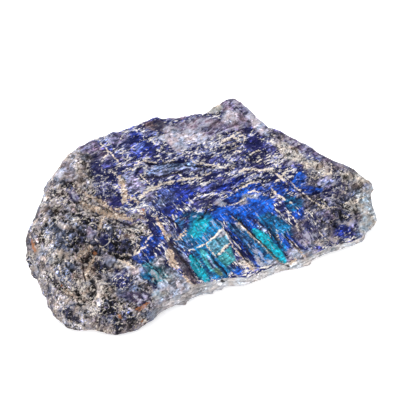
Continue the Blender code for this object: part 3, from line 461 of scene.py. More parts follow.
CRACKS = (
    (0.12, ((-11.3, 5.7), (-9.2, 6.6), (-7.7, 6.9), (-5.8, 7.2), (-4.1, 7.7), (-2.2, 7.4), (0.6, 7.3),
            (3.6, 7.0))),
    (0.13, ((-9.0, 4.3), (-7.6, 4.7), (-5.7, 5.0), (-3.9, 5.8), (-2.4, 6.2), (0.0, 6.7))),
    (0.13, ((4.7, 4.0), (5.8, 5.0), (7.3, 5.9), (8.8, 6.4), (10.4, 6.6))),
    (0.14, ((-1.1, -2.0), (-0.1, -1.2), (0.5, 0.0), (1.3, 0.7))),
    (0.14, ((-5.7, -1.7), (-4.9, -2.5), (-4.0, -3.2))), (0.10, ((-9.8, -3.2), (-8.6, -3.8), (-7.6, -4.6))),
    (0.14, ((-5.2, -6.4), (-3.8, -8.2), (-2.4, -9.9), (-0.9, -11.8))), (0.14, ((-3.6, -5.6), (-2.6, -6.3))),
    (0.14, ((-1.9, -7.6), (-0.6, -9.3), (0.9, -11.0))), (0.14, ((0.6, -7.0), (2.0, -8.8), (3.4, -10.6))),
    (0.16, ((3.3, -2.9), (4.6, -4.1), (6.0, -5.3), (7.4, -7.2))),
    (0.14, ((4.3, -5.0), (5.7, -6.8), (7.0, -8.4), (8.3, -9.2))),
    (0.16, ((5.0, -0.7), (6.5, -2.2), (8.1, -4.0), (10.0, -5.8), (12.1, -7.6))),
    (0.14, ((9.6, -2.1), (10.9, -3.7), (12.1, -5.4), (12.7, -6.6))),
    (0.14, ((12.0, -2.5), (13.3, -3.9), (14.6, -5.4))), (0.11, ((4.0, -2.6), (5.4, -4.0), (6.6, -5.6))),
    (0.20, ((2.6, -11.4), (3.1, -11.6))), (0.24, ((12.4, -7.7), (12.9, -8.0))),
    (0.10, ((17.8, -1.5), (19.1, -2.7), (20.2, -3.9))), (0.10, ((12.8, 6.1), (14.6, 4.7), (16.0, 3.6))),
    # This crack also paints the shadow under the lumps above it.
    (0.10, ((-18.2, -7.6), (-16.6, -7.4), (-14.6, -7.9), (-13.0, -8.9))),
    (0.11, ((-18.4, -10.3), (-18.0, -12.2), (-17.9, -14.2))),
    (0.10, ((-11.4, -16.9), (-9.6, -16.4), (-8.0, -15.5))),
    # These two cracks also paint the shadow in the crevice under the dusty band.
    (0.13, ((-18.4, -2.3), (-16.4, -2.9), (-14.2, -3.5))),
    (0.13, ((-13.4, -3.5), (-11.6, -4.0), (-10.2, -4.3))),
    (0.12, ((-17.6, -0.5), (-15.6, -1.2), (-13.6, -1.9), (-11.8, -2.3))),
    (0.10, ((-1.0, 16.4), (0.8, 17.0), (2.2, 16.6))), (0.10, ((6.6, 10.2), (8.6, 11.0), (10.0, 11.2))),
    (0.10, ((6.4, 9.2), (8.0, 9.7))), (0.11, ((3.4, 10.7), (5.8, 11.5))),
    (0.10, ((2.6, 11.7), (5.2, 12.7))),
)
# How deep an open crack goes, and how far the cream of a vein stands up.
CRACK_DEPTH = 0.22
VEIN_HEIGHT = 0.04

# Where streaks run down to the right instead of up to the right: x and y of the middle, half length, half
# width, turn.
STEEP = (
    (6.0, -4.0, 12.0, 5.0, 24), (-6.0, -8.0, 4.0, 6.0, 0), (15.0, -1.0, 5.0, 4.0, 0),
    (-5.0, 0.5, 3.5, 2.5, 0),
)

# Grains of the rock and of the cleaved face: size, height on the rock, height on the cleaved face.
GRAINS = ((1.3, 0.20, 0.07), (0.62, 0.15, 0.05))
# Patches and lines wander: size of the bends, and how far they stray.
PAINT_WANDER = ((4.5, 1.4), (2.2, 1.0), (0.9, 0.5), (0.45, 0.3))
LINE_WANDER = ((2.4, 0.45), (0.9, 0.22), (0.4, 0.10))
# Outside a line, how far inside it a place lies is counted down to this, in mm.
FAR_OFF = -1.2
# Standing out is measured against places this far off, and this much of it counts as full.
BULGE_REACH = 0.4
BULGE_FULL = 0.09

# Facets: how fast a cell's weight falls with distance, how steep its plane is, and how far it stands up.
FACET_SHARPNESS = 14.0
FACET_TILT = 1.2
FACET_LEVEL = 0.5
# Shares of their length over which ledges and thin lines fade at both ends, and how thin a line gets there.
LEDGE_FADE = 0.15
LINE_FADE = 0.2
THIN_END = 0.55
# Stairs: the riser's share of a step, how far the edges wander in steps, and the size of those bends.
RISER = 0.25
STAIR_WANDER = 0.6
STAIR_BENDS = 5.0
# Squared distances over which the places of stairs and steep streaks, and of rough rock, come up from 0.
PLACE_EDGE = (1.2, 0.7)
ROUGH_EDGE = (1.3, 0.7)
# Widths in mm of the slopes of cracks, veins and plates, and of the painted edges of stripes and plates.
LINE_SLOPE = 0.3
PAINT_EDGE = 0.2
# Directions outwards, and the spokes of the base, are evened out over this part of the way round.
OUTWARD_PART = 1 / 80
SPOKES_PART = 1 / 100
# Rings on the face crowd towards the rim by this power. Over the next shares of the way out the facets turn
# sideways, by this much at the rim.
RING_POWER = 0.9
SIDEWAYS = (0.9, 1.0)
RIM_SIDEWAYS = 0.7
# The wall draws in by this power of the depth. Its facets come up from nothing over the first heights above
# the ground, and its layers over the last height above the chips.
FOOT_POWER = 1.3
FACETS_GROUND = (-0.4, 2.1)
LAYERS_GROUND = 3.0
# Chips at the foot: size and level. Sheets split off the base: size and width of their edges.
CHIPS = (4.0, 0.4)
SHEETS = (7.0, 0.12)
# How far grains count as standing out on the face, how much more on the rock, and the most of it all.
GRAINS_STAND = (0.3, 0.2)
MOST_STANDING = 1.5
# The side of the stone counts as its front or back where its way out points there by this much.
TURNED = (0.1, 0.4)
# The pale front edge: x over which it comes up at its left and right ends, and turns from grey to pale.
EDGE_LEFT = (-9.0, -7.0)
EDGE_RIGHT = (26.0, 24.0)
EDGE_PALES = (-8.0, 6.0)
# Coloured layers in the back wall: thickness, how much they wander, and the levels of dark and brown ones.
LAYER_OF_COLOUR = 1.6
LAYER_STRAYS = 0.15
DARK_LAYER = (0.55, 0.65)
BROWN_LAYER = (0.3, 0.2)
# Large numbers that scramble the place and seed of a lattice cell, and the bits that are kept of the result.
SCRAMBLERS = (73856093, 19349663, 83492791, 40503017)
STIR = 1274126177
STIR_TURN = 668265263
KEPT_BITS = 0x7FFFFFFF
LOW_BITS = 0xFFFF
# Seeds of the lattice numbers, one for each use of them.
SEEDS = {"chips": 7, "sheets": 9, "stairs": 40, "grains": 60, "layers": 77, "tilt": 100, "bend_x": 200,
         "bend_y": 300}


def smooth_step(value):
    """0 below 0, 1 above 1, and a smooth rise between."""
    t = np.clip(value, 0.0, 1.0)
    return t * t * (3.0 - 2.0 * t)


def ramp(value, start, end):
    """0 before the start, 1 past the end, and a smooth rise between."""
    return smooth_step((value - start) / (end - start))


def covered(inside, width):
    """1 well inside an edge of this width, 0 well outside it."""
    return smooth_step(inside / width + 0.5)


def scrambled(cell, seed):
    """Three numbers from 0 to 1 for each lattice cell, always the same for the same cell and seed."""
    key = (seed + 1) * SCRAMBLERS[3]
    for axis in range(3):
        key = key ^ cell[..., axis].astype(np.int64) * SCRAMBLERS[axis]
    made = []
    for turn in (1, 2, 3):
        key = ((key ^ (key >> 13)) * STIR + turn * STIR_TURN) & KEPT_BITS
        made.append((key >> 7 & LOW_BITS) / LOW_BITS)
    return np.stack(made, -1)


def facets(points, size, seed):
    """Broken facets, from about -1 to 1: the weighted mean, over the cells near a point, of a tilted plane
    through each cell's own middle, with weights that fall with the square of the distance."""
    scaled = points / size
    home = np.floor(scaled)
    level = np.zeros(points.shape[:-1])
    total = np.zeros(points.shape[:-1])
    for shift in itertools.product((-1, 0, 1), repeat=3):
        cell = home + shift
        away = scaled - cell - scrambled(cell, seed)
        tilt = scrambled(cell, seed + SEEDS["tilt"]) * 2.0 - 1.0
        weight = np.exp(-FACET_SHARPNESS * (away**2).sum(-1))
        level += weight * (FACET_TILT * (tilt * away).sum(-1) + FACET_LEVEL * tilt[..., 0])
        total += weight
    return level / total


def drift(x, y, size, seed):
    """Smooth noise from 0 to 1: the four lattice numbers round a place, mixed by smooth steps."""
    column, row = np.floor(x / size), np.floor(y / size)
    across, up = smooth_step(x / size - column), smooth_step(y / size - row)
    level = 0.0
    for right, above in itertools.product((0, 1), repeat=2):
        corner = scrambled(np.stack([column + right, row + above, 0.0 * row], -1), seed)[..., 0]
        level = level + corner * np.abs(1 - right - across) * np.abs(1 - above - up)
    return level


def wander(x, y, bends):
    """The same places, bent a little by smooth noise, so that lines and edges don't run quite true."""
    bent_x, bent_y = x, y
    for seed, (size, stray) in enumerate(bends):
        bent_x = bent_x + stray * (drift(x, y, size, SEEDS["bend_x"] + seed) - 0.5)
        bent_y = bent_y + stray * (drift(x, y, size, SEEDS["bend_y"] + seed) - 0.5)
    return bent_x, bent_y


def oval(x, y, centre_x, centre_y, half_length, half_width, turn):
    """Squared distance from an oval's middle, as a share of its size: 0 in the middle, 1 on the oval."""
    angle = np.radians(turn)
    along = (x - centre_x) * np.cos(angle) + (y - centre_y) * np.sin(angle)
    across = (y - centre_y) * np.cos(angle) - (x - centre_x) * np.sin(angle)
    return (along / half_length) ** 2 + (across / half_width) ** 2


def in_ovals(x, y, places, edge):
    """1 inside any of the ovals, 0 outside all, with a soft edge."""
    return np.max([ramp(oval(x, y, *place), *edge) for place in places], axis=0)


def end_fade(share, reach):
    """0 at both ends of a line, 1 from this share of its length on."""
    return smooth_step(share / reach) * smooth_step((1.0 - share) / reach)


def beside_line(x, y, line):
    """(distance from a line of points, positive on its left, share of the way along it)."""
    line = np.asarray(line, float)
    lengths = np.linalg.norm(np.diff(line, axis=0), axis=1)
    nearest = np.full(x.shape, np.inf)
    offset = np.zeros(x.shape)
    share = np.zeros(x.shape)
    gone = 0.0
    for start, end, length in zip(line[:-1], line[1:], lengths):
        way = (end - start) / length
        held = np.clip((x - start[0]) * way[0] + (y - start[1]) * way[1], 0.0, length)
        off_x = x - start[0] - way[0] * held
        off_y = y - start[1] - way[1] * held
        distance = np.hypot(off_x, off_y)
        closer = distance < nearest
        nearest = np.where(closer, distance, nearest)
        offset = np.where(closer, np.copysign(distance, way[0] * off_y - way[1] * off_x), offset)
        share = np.where(closer, (gone + held) / lengths.sum(), share)
        gone += length
    return offset, share


def line_cover(x, y, lines):
    """How far inside the nearest of the lines each place lies, in mm: the half width, thinner towards both
    ends, less the distance from the line. It is negative outside, down to FAR_OFF."""
    cover = np.full(x.shape, FAR_OFF)
    for half_width, line in lines:
        offset, share = beside_line(x, y, line)
        taper = THIN_END + (1.0 - THIN_END) * end_fade(share, LINE_FADE)
        cover = np.maximum(cover, half_width * taper - np.abs(offset))
    return cover


def inside_plate(x, y, corners):
    """How far inside a plate with straight sides each place lies: the least distance to its sides."""
    corners = np.asarray(corners, float)
    depths = []
    for start, end in zip(corners, np.roll(corners, -1, axis=0)):
        way = (end - start) / np.linalg.norm(end - start)
        depths.append(way[0] * (y - start[1]) - way[1] * (x - start[0]))
    return np.min(depths, axis=0)


def break_height(x, y, line, rise, reach, depth, width):
    """A ledge, up on the left of its line and down on the right, dying away on both sides, and a groove."""
    offset, share = beside_line(x, y, line)
    lift = (covered(offset, width) - 0.5) * rise * np.exp(-np.abs(offset) / reach)
    groove = -depth * np.exp(-((offset / (0.5 * width)) ** 2))
    return end_fade(share, LEDGE_FADE) * (lift + groove)


def stair_height(x, y, place, run, spacing, rise):
    """Stairs whose edges run in one direction and wander: a short riser, then a tread that sinks again."""
    angle = np.radians(run)
    stray = facets(np.stack([x, y, 0.0 * x], -1), STAIR_BENDS, SEEDS["stairs"])
    stray = STAIR_WANDER * spacing * stray
    count = ((y * np.cos(angle) - x * np.sin(angle) + stray) / spacing * np.sign(rise)) % 1.0
    step = smooth_step(count / RISER) - count
    return abs(rise) * step * in_ovals(x, y, [place], PLACE_EDGE)


def plane_height(x, y):
    """Height of the plane of the upper face."""
    return FACE_HEIGHT + FACE_SLOPE_X * x + FACE_SLOPE_Y * y


def face_relief(x, y):
    """Height of the ledges, grooves, stairs, lumps and scoops above the plane of the upper face."""
    height = sum(break_height(x, y, *measures) for measures in BREAKS.values())
    height = height + sum(stair_height(x, y, *measures) for measures in STAIRS)
    for *place, swell in SWELLS:
        height = height + swell * np.exp(-oval(x, y, *place))
    return height


def fine_relief(x, y):
    """Height of the fine stairs, the open cracks, the veins and the plates on the upper face."""
    height = sum(stair_height(x, y, *measures) for measures in FINE_STAIRS)
    height = height - CRACK_DEPTH * covered(line_cover(x, y, CRACKS), LINE_SLOPE)
    height = height + VEIN_HEIGHT * covered(line_cover(x, y, VEINS), LINE_SLOPE)
    for _, stands_up, corners in PLATES:
        height = height + stands_up * covered(inside_plate(x, y, corners), LINE_SLOPE)
    return height


def face_height(x, y, edge_distance, direction):
    """The upper face: its plane, rounded down at the rim, with the relief on it."""
    width = np.interp(direction, AROUND, RIM_WIDTH)
    rounding = np.interp(direction, AROUND, RIM_DROP) * np.clip(1.0 - edge_distance / width, 0.0, 1.0) ** 2
    seen_y = y - LEAN * rounding
    bent_x, bent_y = wander(x, seen_y, LINE_WANDER)
    return plane_height(x, y) - rounding + face_relief(x, seen_y) + fine_relief(bent_x, bent_y)


def outline_points(count):
    """(widest line at even steps, directions outwards there, compass direction from MIDDLE in degrees)."""
    corners = np.array(OUTLINE + OUTLINE[:1])
    walked = np.append(0.0, np.cumsum(np.linalg.norm(np.diff(corners[:, :2], axis=0), axis=1)))
    wanted = np.linspace(0.0, walked[-1], count, endpoint=False)
    ring = np.stack([np.interp(wanted, walked, corners[:, i]) for i in range(3)], 1)
    reach = round(count * OUTWARD_PART)
    ahead = np.roll(ring, -reach, axis=0) - np.roll(ring, reach, axis=0)
    outward = np.stack([ahead[:, 1], -ahead[:, 0]], 1)
    outward /= np.linalg.norm(outward, axis=1, keepdims=True)
    away = ring[:, :2] - MIDDLE
    return ring, outward, np.degrees(np.arctan2(away[:, 1], away[:, 0])) % 360.0


def in_order(ring):
    """The ring with its directions from MIDDLE put in order and evened out, so that no spokes cross."""
    spokes = ring - MIDDLE
    radius = np.linalg.norm(spokes, axis=1)
    direction = np.sort(np.unwrap(np.arctan2(spokes[:, 1], spokes[:, 0])))
    reach = int(len(ring) * SPOKES_PART)
    whole_turn = 2.0 * np.pi
    direction = np.concatenate([direction[-reach:] - whole_turn, direction, direction[:reach] + whole_turn])
    direction = np.convolve(direction, np.full(2 * reach + 1, 1.0 / (2 * reach + 1)), "valid")
    return MIDDLE + radius[:, None] * np.column_stack([np.cos(direction), np.sin(direction)])


def face_rings(rim, outward, direction):
    """(points, ways) of the upper face: MIDDLE plus a share of the way out to the rim, at face_height."""
    spokes = rim - MIDDLE
    share = np.linspace(0.0, 1.0, FACE_RINGS + 1)[1:, None] ** RING_POWER
    x, y = MIDDLE[0] + share * spokes[:, 0], MIDDLE[1] + share * spokes[:, 1]
    edge_distance = (1.0 - share) * np.linalg.norm(spokes, axis=1)
    z = face_height(x, y, edge_distance, np.broadcast_to(direction, x.shape))
    sideways = ramp(share, *SIDEWAYS)
    rough = SMOOTH + (1.0 - SMOOTH) * in_ovals(x, y, ROUGH, ROUGH_EDGE)
    rough = rough * (1.0 - sideways) + RIM_FACETS * sideways
    ways = np.stack([outward[:, 0] * RIM_SIDEWAYS * sideways * rough,
                     outward[:, 1] * RIM_SIDEWAYS * sideways * rough,
                     (1.0 - RIM_SIDEWAYS * sideways) * rough], -1)
    return np.stack([x, y, z], -1), ways


def wall_rings(flat, widest, rim, top, foot, chips, outward):
    """(points, ways) of the wall: from the rim out to the widest line by the square of the height above it,
    and in to the foot by a power of the depth below it, with layers that stand out in turn."""
    share = np.linspace(0.0, 1.0, WALL_RINGS + 1)[1:, None]
    z = top + (chips - top) * share
    above = np.clip((z - widest) / (top - widest), 0.0, 1.0)
    below = np.clip((widest - z) / (widest - chips), 0.0, 1.0)
    place = flat + (rim - flat) * (above**2)[..., None] + (foot - flat) * (below**FOOT_POWER)[..., None]
    layer = (plane_height(place[..., 0], place[..., 1]) - z) / LAYER % 1.0 - 0.5
    broken = smooth_step(below / FULL_FACETS_AT)
    rough = (RIM_FACETS + (1.0 - RIM_FACETS) * broken) * ramp(z, *FACETS_GROUND)
    shift = (LAYER_OUT * layer - BROKEN_IN) * broken * smooth_step((z - chips) / LAYERS_GROUND)
    place = place + outward * shift[..., None]
    ways = np.stack([outward[:, 0] * rough, outward[:, 1] * rough, 0.0 * z], -1)
    return np.concatenate([place, z[..., None]], -1), ways


def base_rings(foot, chips):
    """Points of the base: in to MIDDLE again, flat, with thin sheets split off."""
    share = np.linspace(1.0, 0.0, BASE_RINGS + 1)[1:-1, None, None]
    place = MIDDLE + (foot - MIDDLE) * share
    size, width = SHEETS
    split = facets(np.concatenate([place, 0.0 * place[..., :1]], -1), size, SEEDS["sheets"])
    split = smooth_step(split / width)
    share = share[..., 0]
    z = SHEET * split * ramp(share, *WHOLE_MIDDLE)
    z = np.maximum(z, chips * np.clip((share - FLAT_SHARE) / (1.0 - FLAT_SHARE), 0.0, 1.0))
    return np.concatenate([place, z[..., None]], -1)


def stone_rings():
    """The net before the facets, as rings by points by xyz, the way and share by which a facet moves each
    point, how far down the side of the stone each point lies (0 on the face, 1 on the wall, 2 below), and
    the directions outwards."""
    ring, outward, direction = outline_points(POINTS_ROUND)
    flat, widest = ring[:, :2], ring[:, 2]
    rim = flat - outward * np.interp(direction, AROUND, RIM_IN)[:, None]
    foot = in_order(flat - outward * np.interp(direction, AROUND, FOOT_IN)[:, None])
    size, level = CHIPS
    chips = facets(np.column_stack([foot, widest * 0.0]), size, SEEDS["chips"])
    chips = CHIP_HEIGHT * np.clip(level + chips, 0.0, 1.0)
    face, face_ways = face_rings(rim, outward, direction)
    wall, wall_ways = wall_rings(flat, widest, rim, face[-1, :, 2], foot, chips, outward)
    base = base_rings(wall[-1, :, :2], chips)
    side = [np.full(part.shape[:2], float(number)) for number, part in enumerate((face, wall, base))]
    ways = np.concatenate([face_ways, wall_ways, 0.0 * base])
    return np.concatenate([face, wall, base]), ways, np.concatenate(side), outward


def bulge(rings):
    """How far each point stands up above the mean of four points of the net, in mm: two of them two rings
    inside and outside its own, and two on its own ring, BULGE_REACH away."""
    height = rings[..., 2] - plane_height(rings[..., 0], rings[..., 1])
    gaps = np.linalg.norm(np.roll(rings, -1, axis=1) - rings, axis=-1).mean(1)
    step = np.clip(np.round(BULGE_REACH / gaps), 1, POINTS_ROUND // 8).astype(int)[:, None]
    row = np.arange(len(rings))
    point = np.arange(POINTS_ROUND)
    around = height[np.maximum(row - 2, 0)] + height[np.minimum(row + 2, row[-1])]
    around = around + np.take_along_axis(height, (point + step) % POINTS_ROUND, 1)
    around = around + np.take_along_axis(height, (point - step) % POINTS_ROUND, 1)
    return height - 0.25 * around


def net_faces(rows):
    """(quads, triangles) of the closed net: quads between neighbouring rings, and a fan round the point in
    the middle of the face and of the base, which come last in the list of points."""
    here = np.arange(POINTS_ROUND)
    ahead = np.roll(here, -1)
    row = np.arange(rows - 1)[:, None] * POINTS_ROUND
    below = row + POINTS_ROUND
    quads = np.stack([row + here, below + here, below + ahead, row + ahead], -1).reshape(-1, 4)
    crown = rows * POINTS_ROUND
    last = crown - POINTS_ROUND
    crown_fan = np.stack([np.full(POINTS_ROUND, crown), here, ahead], 1)
    base_fan = np.stack([last + ahead, last + here, np.full(POINTS_ROUND, crown + 1)], 1)
    return quads, np.vstack([crown_fan, base_fan])


def stone_net():
    """(points, quads, triangles, side, way out and standing out of each point) of the closed skin."""
    rings, ways, side, outward = stone_rings()
    stands_out = sum(height * facets(rings, size, seed) for seed, (size, height) in enumerate(FACET_SIZES))
    rings = rings + ways * stands_out[..., None]
    strength = np.linalg.norm(ways, axis=-1)
    rocky = np.clip((strength - SMOOTH) / (1.0 - SMOOTH), 0.0, 1.0)
    grains = [facets(rings, size, SEEDS["grains"] + seed) for seed, (size, _, _) in enumerate(GRAINS)]
    for level, (_, on_rock, on_face) in zip(grains, GRAINS):
        height = (on_face + (on_rock - on_face) * rocky) * level
        rings = rings + ways * (height / np.maximum(strength, SMOOTH))[..., None]
    on_face, more_on_rock = GRAINS_STAND
    stands = bulge(rings) * (side < 0.5) / BULGE_FULL + sum(grains) * (on_face + more_on_rock * rocky)

    middle = np.array(MIDDLE)
    crown = face_height(middle[:1], middle[1:], np.array([np.inf]), np.array([0.0]))
    points = np.vstack([rings.reshape(-1, 3), [*middle, crown[0]], [*middle, 0.0]])
    side = np.append(side.ravel(), [0.0, 2.0])
    stands = np.clip(np.append(stands.ravel(), [0.0, 0.0]), -MOST_STANDING, MOST_STANDING)
    way_out = np.broadcast_to(outward, rings.shape[:2] + (2,)).reshape(-1, 2)
    way_out = np.vstack([way_out, [0.0, 0.0], [0.0, 0.0]])
    return points, *net_faces(len(rings)), side, way_out, stands


def turned(way_out, direction):
    """1 on the side of the stone that faces the back (direction 1) or the front (direction -1)."""
    return ramp(direction * way_out[..., 1], *TURNED)


def front_edge(x, way_out):
    """1 on the pale broken edge at the front, 0 elsewhere."""
    return turned(way_out, -1) * ramp(x, *EDGE_LEFT) * ramp(x, *EDGE_RIGHT)


def painted(seen_x, seen_y, side, way_out, z, palette):
    """Colour, frost, grit, flecks and glints, rockiness and shine of every point: all paints in order, each
    laid where its patch, stripe or plate is, then the front edge, the layered wall at the back and the
    underside."""
    x, y = wander(seen_x, seen_y, PAINT_WANDER)
    line_x, line_y = wander(seen_x, seen_y, LINE_WANDER)
    layers = [("indigo", np.ones(x.shape))]
    for paint, *place, soft in PATCHES:
        inside = (1.0 - np.sqrt(oval(x, y, *place))) * min(place[2:4])
        layers.append((paint, covered(inside, soft)))
    for paint, half_width, line in STRIPES:
        layers.append((paint, covered(line_cover(line_x, line_y, ((half_width, line),)), PAINT_EDGE)))
    for paint, _, corners in PLATES:
        layers.append((paint, covered(inside_plate(line_x, line_y, corners), PAINT_EDGE)))

    on_wall = np.clip(side, 0.0, 1.0)
    in_front = on_wall * front_edge(seen_x, way_out)
    behind = on_wall * turned(way_out, 1)
    below_face = plane_height(seen_x, seen_y) - z
    layer = drift(below_face, LAYER_STRAYS * (x + y), LAYER_OF_COLOUR, SEEDS["layers"])
    layers += [
        ("edge_grey", in_front),
        ("edge_pale", in_front * ramp(seen_x, *EDGE_PALES)),
        ("blue_rock", behind),
        ("dark_rock", behind * ramp(layer, *DARK_LAYER)),
        ("brown_rock", behind * ramp(layer, *BROWN_LAYER)),
        ("underside", np.clip(side - 1.0, 0.0, 1.0)),
    ]
    traits = np.zeros(x.shape + (3 + len(PAINTS["indigo"]),))
    for paint, cover in layers:
        traits += (np.append(palette[paint], PAINTS[paint]) - traits) * cover[..., None]
    return traits


def skin_attributes(points, side, way_out, stands, palette):
    """The attributes of the skin, by name: its painted traits, and how deep inside each kind of line each
    point lies, in mm."""
    x, z = points[:, 0], points[:, 2]
    seen_y = points[:, 1] + LEAN * (z - plane_height(x, points[:, 1]))
    traits = painted(x, seen_y, side, way_out, z, palette)
    made = {"body": traits[:, :3], "stands": stands}
    made.update(zip(("frost", "grit", "flecks_and_glints", "rocky", "shine"), traits[:, 3:].T))
    bent_x, bent_y = wander(x, seen_y, LINE_WANDER)
    made["steep"] = in_ovals(bent_x, bent_y, STEEP, PLACE_EDGE)
    made["layered"] = np.clip(np.minimum(side, 2.0 - side), 0.0, 1.0) * front_edge(x, way_out)
    hidden = np.clip(side, 0.0, 1.0) * turned(way_out, 1) + np.clip(side - 1.0, 0.0, 1.0)
    for name, lines in {"vein": VEINS, "dust": DUST, "rust": RUST, "crack_shadow": CRACKS}.items():
        made[name] = line_cover(bent_x, bent_y, lines) * (1.0 - hidden) + FAR_OFF * hidden
    return made


class Value:
    """A number at every place of a material, with which others are worked out."""

    def __init__(self, wiring, socket):
        self.wiring = wiring
        self.socket = socket

    def __add__(self, other):
        return self.wiring.math("ADD", self, other)

    def __sub__(self, other):
        return self.wiring.math("SUBTRACT", self, other)

    def __rsub__(self, other):
        return self.wiring.math("SUBTRACT", other, self)

    def __mul__(self, other):
        return self.wiring.math("MULTIPLY", self, other)

    def centred(self, strength):
        """This number, which is about 0.5, turned into one about 0 and made stronger."""
        return self.wiring.math("MULTIPLY_ADD", self, strength, -0.5 * strength)

    def at_most(self, limit):
        """This number, or the limit where it is greater."""
        return self.wiring.math("MINIMUM", self, limit)

    def at_least(self, limit):
        """This number, or the limit where it is less."""
        return self.wiring.math("MAXIMUM", self, limit)

    def above(self, limit, softness):
        """1 where this number is above a limit, 0 where it is below, with a soft edge."""
        return self.wiring.math("MULTIPLY_ADD", self, 1.0 / softness, 0.5 - limit / softness, clamp=True)

    def covers(self, share, softness, spread=0.45):
        """1 over about this share of the surface, where this noise is highest, and 0 elsewhere."""
        return (self + share * spread).above(0.5 + 0.5 * spread, softness)


class Wiring:
    """Short calls that add the nodes of one material and join them up."""

    def __init__(self, material):
        material.use_nodes = True
        self.tree = material.node_tree
        self.shader = self.tree.nodes["Principled BSDF"]
        self.place = self.node("TexCoord", "Object")

    def put(self, socket, value):
        """Joins a socket to another node's output, or sets it to a plain value."""
        value = getattr(value, "socket", value)
        if isinstance(value, bpy.types.NodeSocket):
            self.tree.links.new(value, socket)
        else:
            socket.default_value = value

    def node(self, kind, output, inputs=(), **settings):
        """Adds a node with these settings and inputs, and returns one of its outputs."""
        made = self.tree.nodes.new("ShaderNode" + kind)
        for name, value in settings.items():
            setattr(made, name, value)
        for name, value in dict(inputs).items():
            self.put(made.inputs[name], value)
        return made.outputs[output]

    def math(self, operation, *values, clamp=False):
        """One sum, product or the like."""
        settings = {"operation": operation, "use_clamp": clamp}
        return Value(self, self.node("Math", "Value", enumerate(values), **settings))

    def doubled(self, stops):
        """2 to the power of a value."""
        return self.math("POWER", 2.0, stops)

    def mix(self, share, first, second, mode="MIX"):
        """first where share is 0, second where it is 1, as colours."""
        return self.node("Mix", 2, {0: share, 6: first, 7: second}, data_type="RGBA", blend_type=mode)

    def blend(self, share, first, second):
        """first where share is 0, second where it is 1, as numbers."""
        return Value(self, self.node("Mix", 0, {0: share, 2: first, 3: second}, data_type="FLOAT"))

    def attribute(self, name, output="Fac"):
        """One of the skin's attributes."""
        return Value(self, self.node("Attribute", output, attribute_name=name))

    def scaled(self, lengths, turn, shift):
        """The place on the stone, measured in these lengths in mm along, across and up, and turned."""
        inputs = {"Vector": self.place, "Location": [shift * MM] * 3,
                  "Rotation": (0.0, 0.0, np.radians(turn)), "Scale": [length * MM for length in lengths]}
        return self.node("Mapping", "Vector", inputs, vector_type="TEXTURE")

    def noise(self, lengths, turn, shift, detail, roughness=0.6, output="Fac"):
        """Smooth noise whose bumps have these lengths."""
        inputs = {"Vector": self.scaled(lengths, turn, shift), "Scale": 1.0, "Detail": detail,
                  "Roughness": roughness}
        return Value(self, self.node("TexNoise", output, inputs))

    def cells(self, lengths, turn, shift, feature="F1", output="Color"):
        """Cells of these lengths: a number of each cell's own, or the distance to its edge."""
        inputs = {"Vector": self.scaled(lengths, turn, shift), "Scale": 1.0}
        return Value(self, self.node("TexVoronoi", output, inputs, feature=feature))

    def bend(self, noise, stray):
        """From here on, places are bent by smooth noise, so that cells and streaks have ragged sides."""
        noise = self.node("VectorMath", "Vector", {0: noise, 1: (0.5, 0.5, 0.5)}, operation="SUBTRACT")
        inputs = {0: noise, 1: [stray] * 3, 2: self.place}
        self.place = self.node("VectorMath", "Vector", inputs, operation="MULTIPLY_ADD")


def linear(colour):
    """Linear red, green and blue of a screen colour."""
    colour = np.asarray(colour, float)
    return np.where(colour <= 0.04045, colour / 12.92, ((colour + 0.055) / 1.055) ** 2.4)


def rgba(colour):
    """A screen colour as a linear colour with full alpha."""
    return (*linear(colour), 1.0)


# The patterns of the material run in four ways: up to the right and steeply down to the right on the cleaved
# face, over the rock, and in layers along the front edge. For each: lengths along, across and up, as
# multiples of the pattern's size, then detail and roughness of the noise. Specks have their lengths in mm.
STREAK_SHAPES = ((3.2, 1.0, 0.9, 2.5, 0.6), (5.5, 1.0, 3.0, 2.5, 0.6),
                 (2.2, 1.0, 1.2, 3.5, 0.72), (5.0, 5.0, 1.0, 2.5, 0.6))
SPECK_SHAPES = ((0.70, 0.22, 0.20, 1.0, 0.6), (0.90, 0.22, 0.60, 1.0, 0.6),
                (0.46, 0.26, 0.32, 1.0, 0.6), (0.90, 0.90, 0.22, 1.0, 0.6))
CELL_SHAPES = ((2.4, 1.0, 1.2), (4.5, 1.0, 3.0), (1.1, 0.7, 0.9), (4.0, 4.0, 1.0))
ROCK_TURN = 48.0
# Grains of light and dark: lengths in mm on the cleaved face, and lengths, turn and shift on the rock.
FACE_GRAINS = (0.62, 0.20, 0.20)
ROCK_GRAINS = ((0.34, 0.24, 0.28), 40.0, 17.0)
# Shifts in mm that keep the other patterns apart.
SHIFTS = {"clots": 0.0, "cells": 3.0, "streaks": 5.0, "chips": 7.0, "frost": 11.0, "grains": 13.0,
          "grit": 23.0, "specks": 31.0}
# Smooth noises: lengths in mm, turn, shift and detail. Fields are lighter and darker, lulls have weaker
# streaks and grains, warmth is how brown a place is, glint curls are thin pale curves in the rock, painted
# highlights along the rims of chips, gaps break up veins and cracks, the ragged noise frays the edges of
# lines, and cells and streaks follow the bends.
FIELDS = ((3.6, 2.4, 2.8), 25.0, 71.0, 2.0)
LULLS = ((2.9, 1.9, 2.3), 35.0, 97.0, 1.5)
WARMTH = ((1.7, 1.3, 1.4), 30.0, 61.0, 3.0)
GLINT_CURLS = ((1.9, 1.3, 1.5), 20.0, 83.0, 1.5)
GAPS = ((1.3, 1.2, 1.2), 0.0, 41.0, 1.0)
RAGGED = ((0.34, 0.30, 0.32), 0.0, 37.0, 3.0)
BENDS = ((0.7, 0.7, 0.7), 0.0, 50.0, 2.0)
# Level and softness of the edge between cool and warm places.
WARM_EDGE = (0.5, 0.25)
# How deep lulls are, the least and the most factor by which they change streaks, cells and grains, and the
# most by which they change the flecks and glints.
LULL_DEPTH = 4.0
LIVELY_LEAST = 0.5
LIVELY_MOST = 1.5
FLECKS_AND_GLINTS_MOST = 1.2
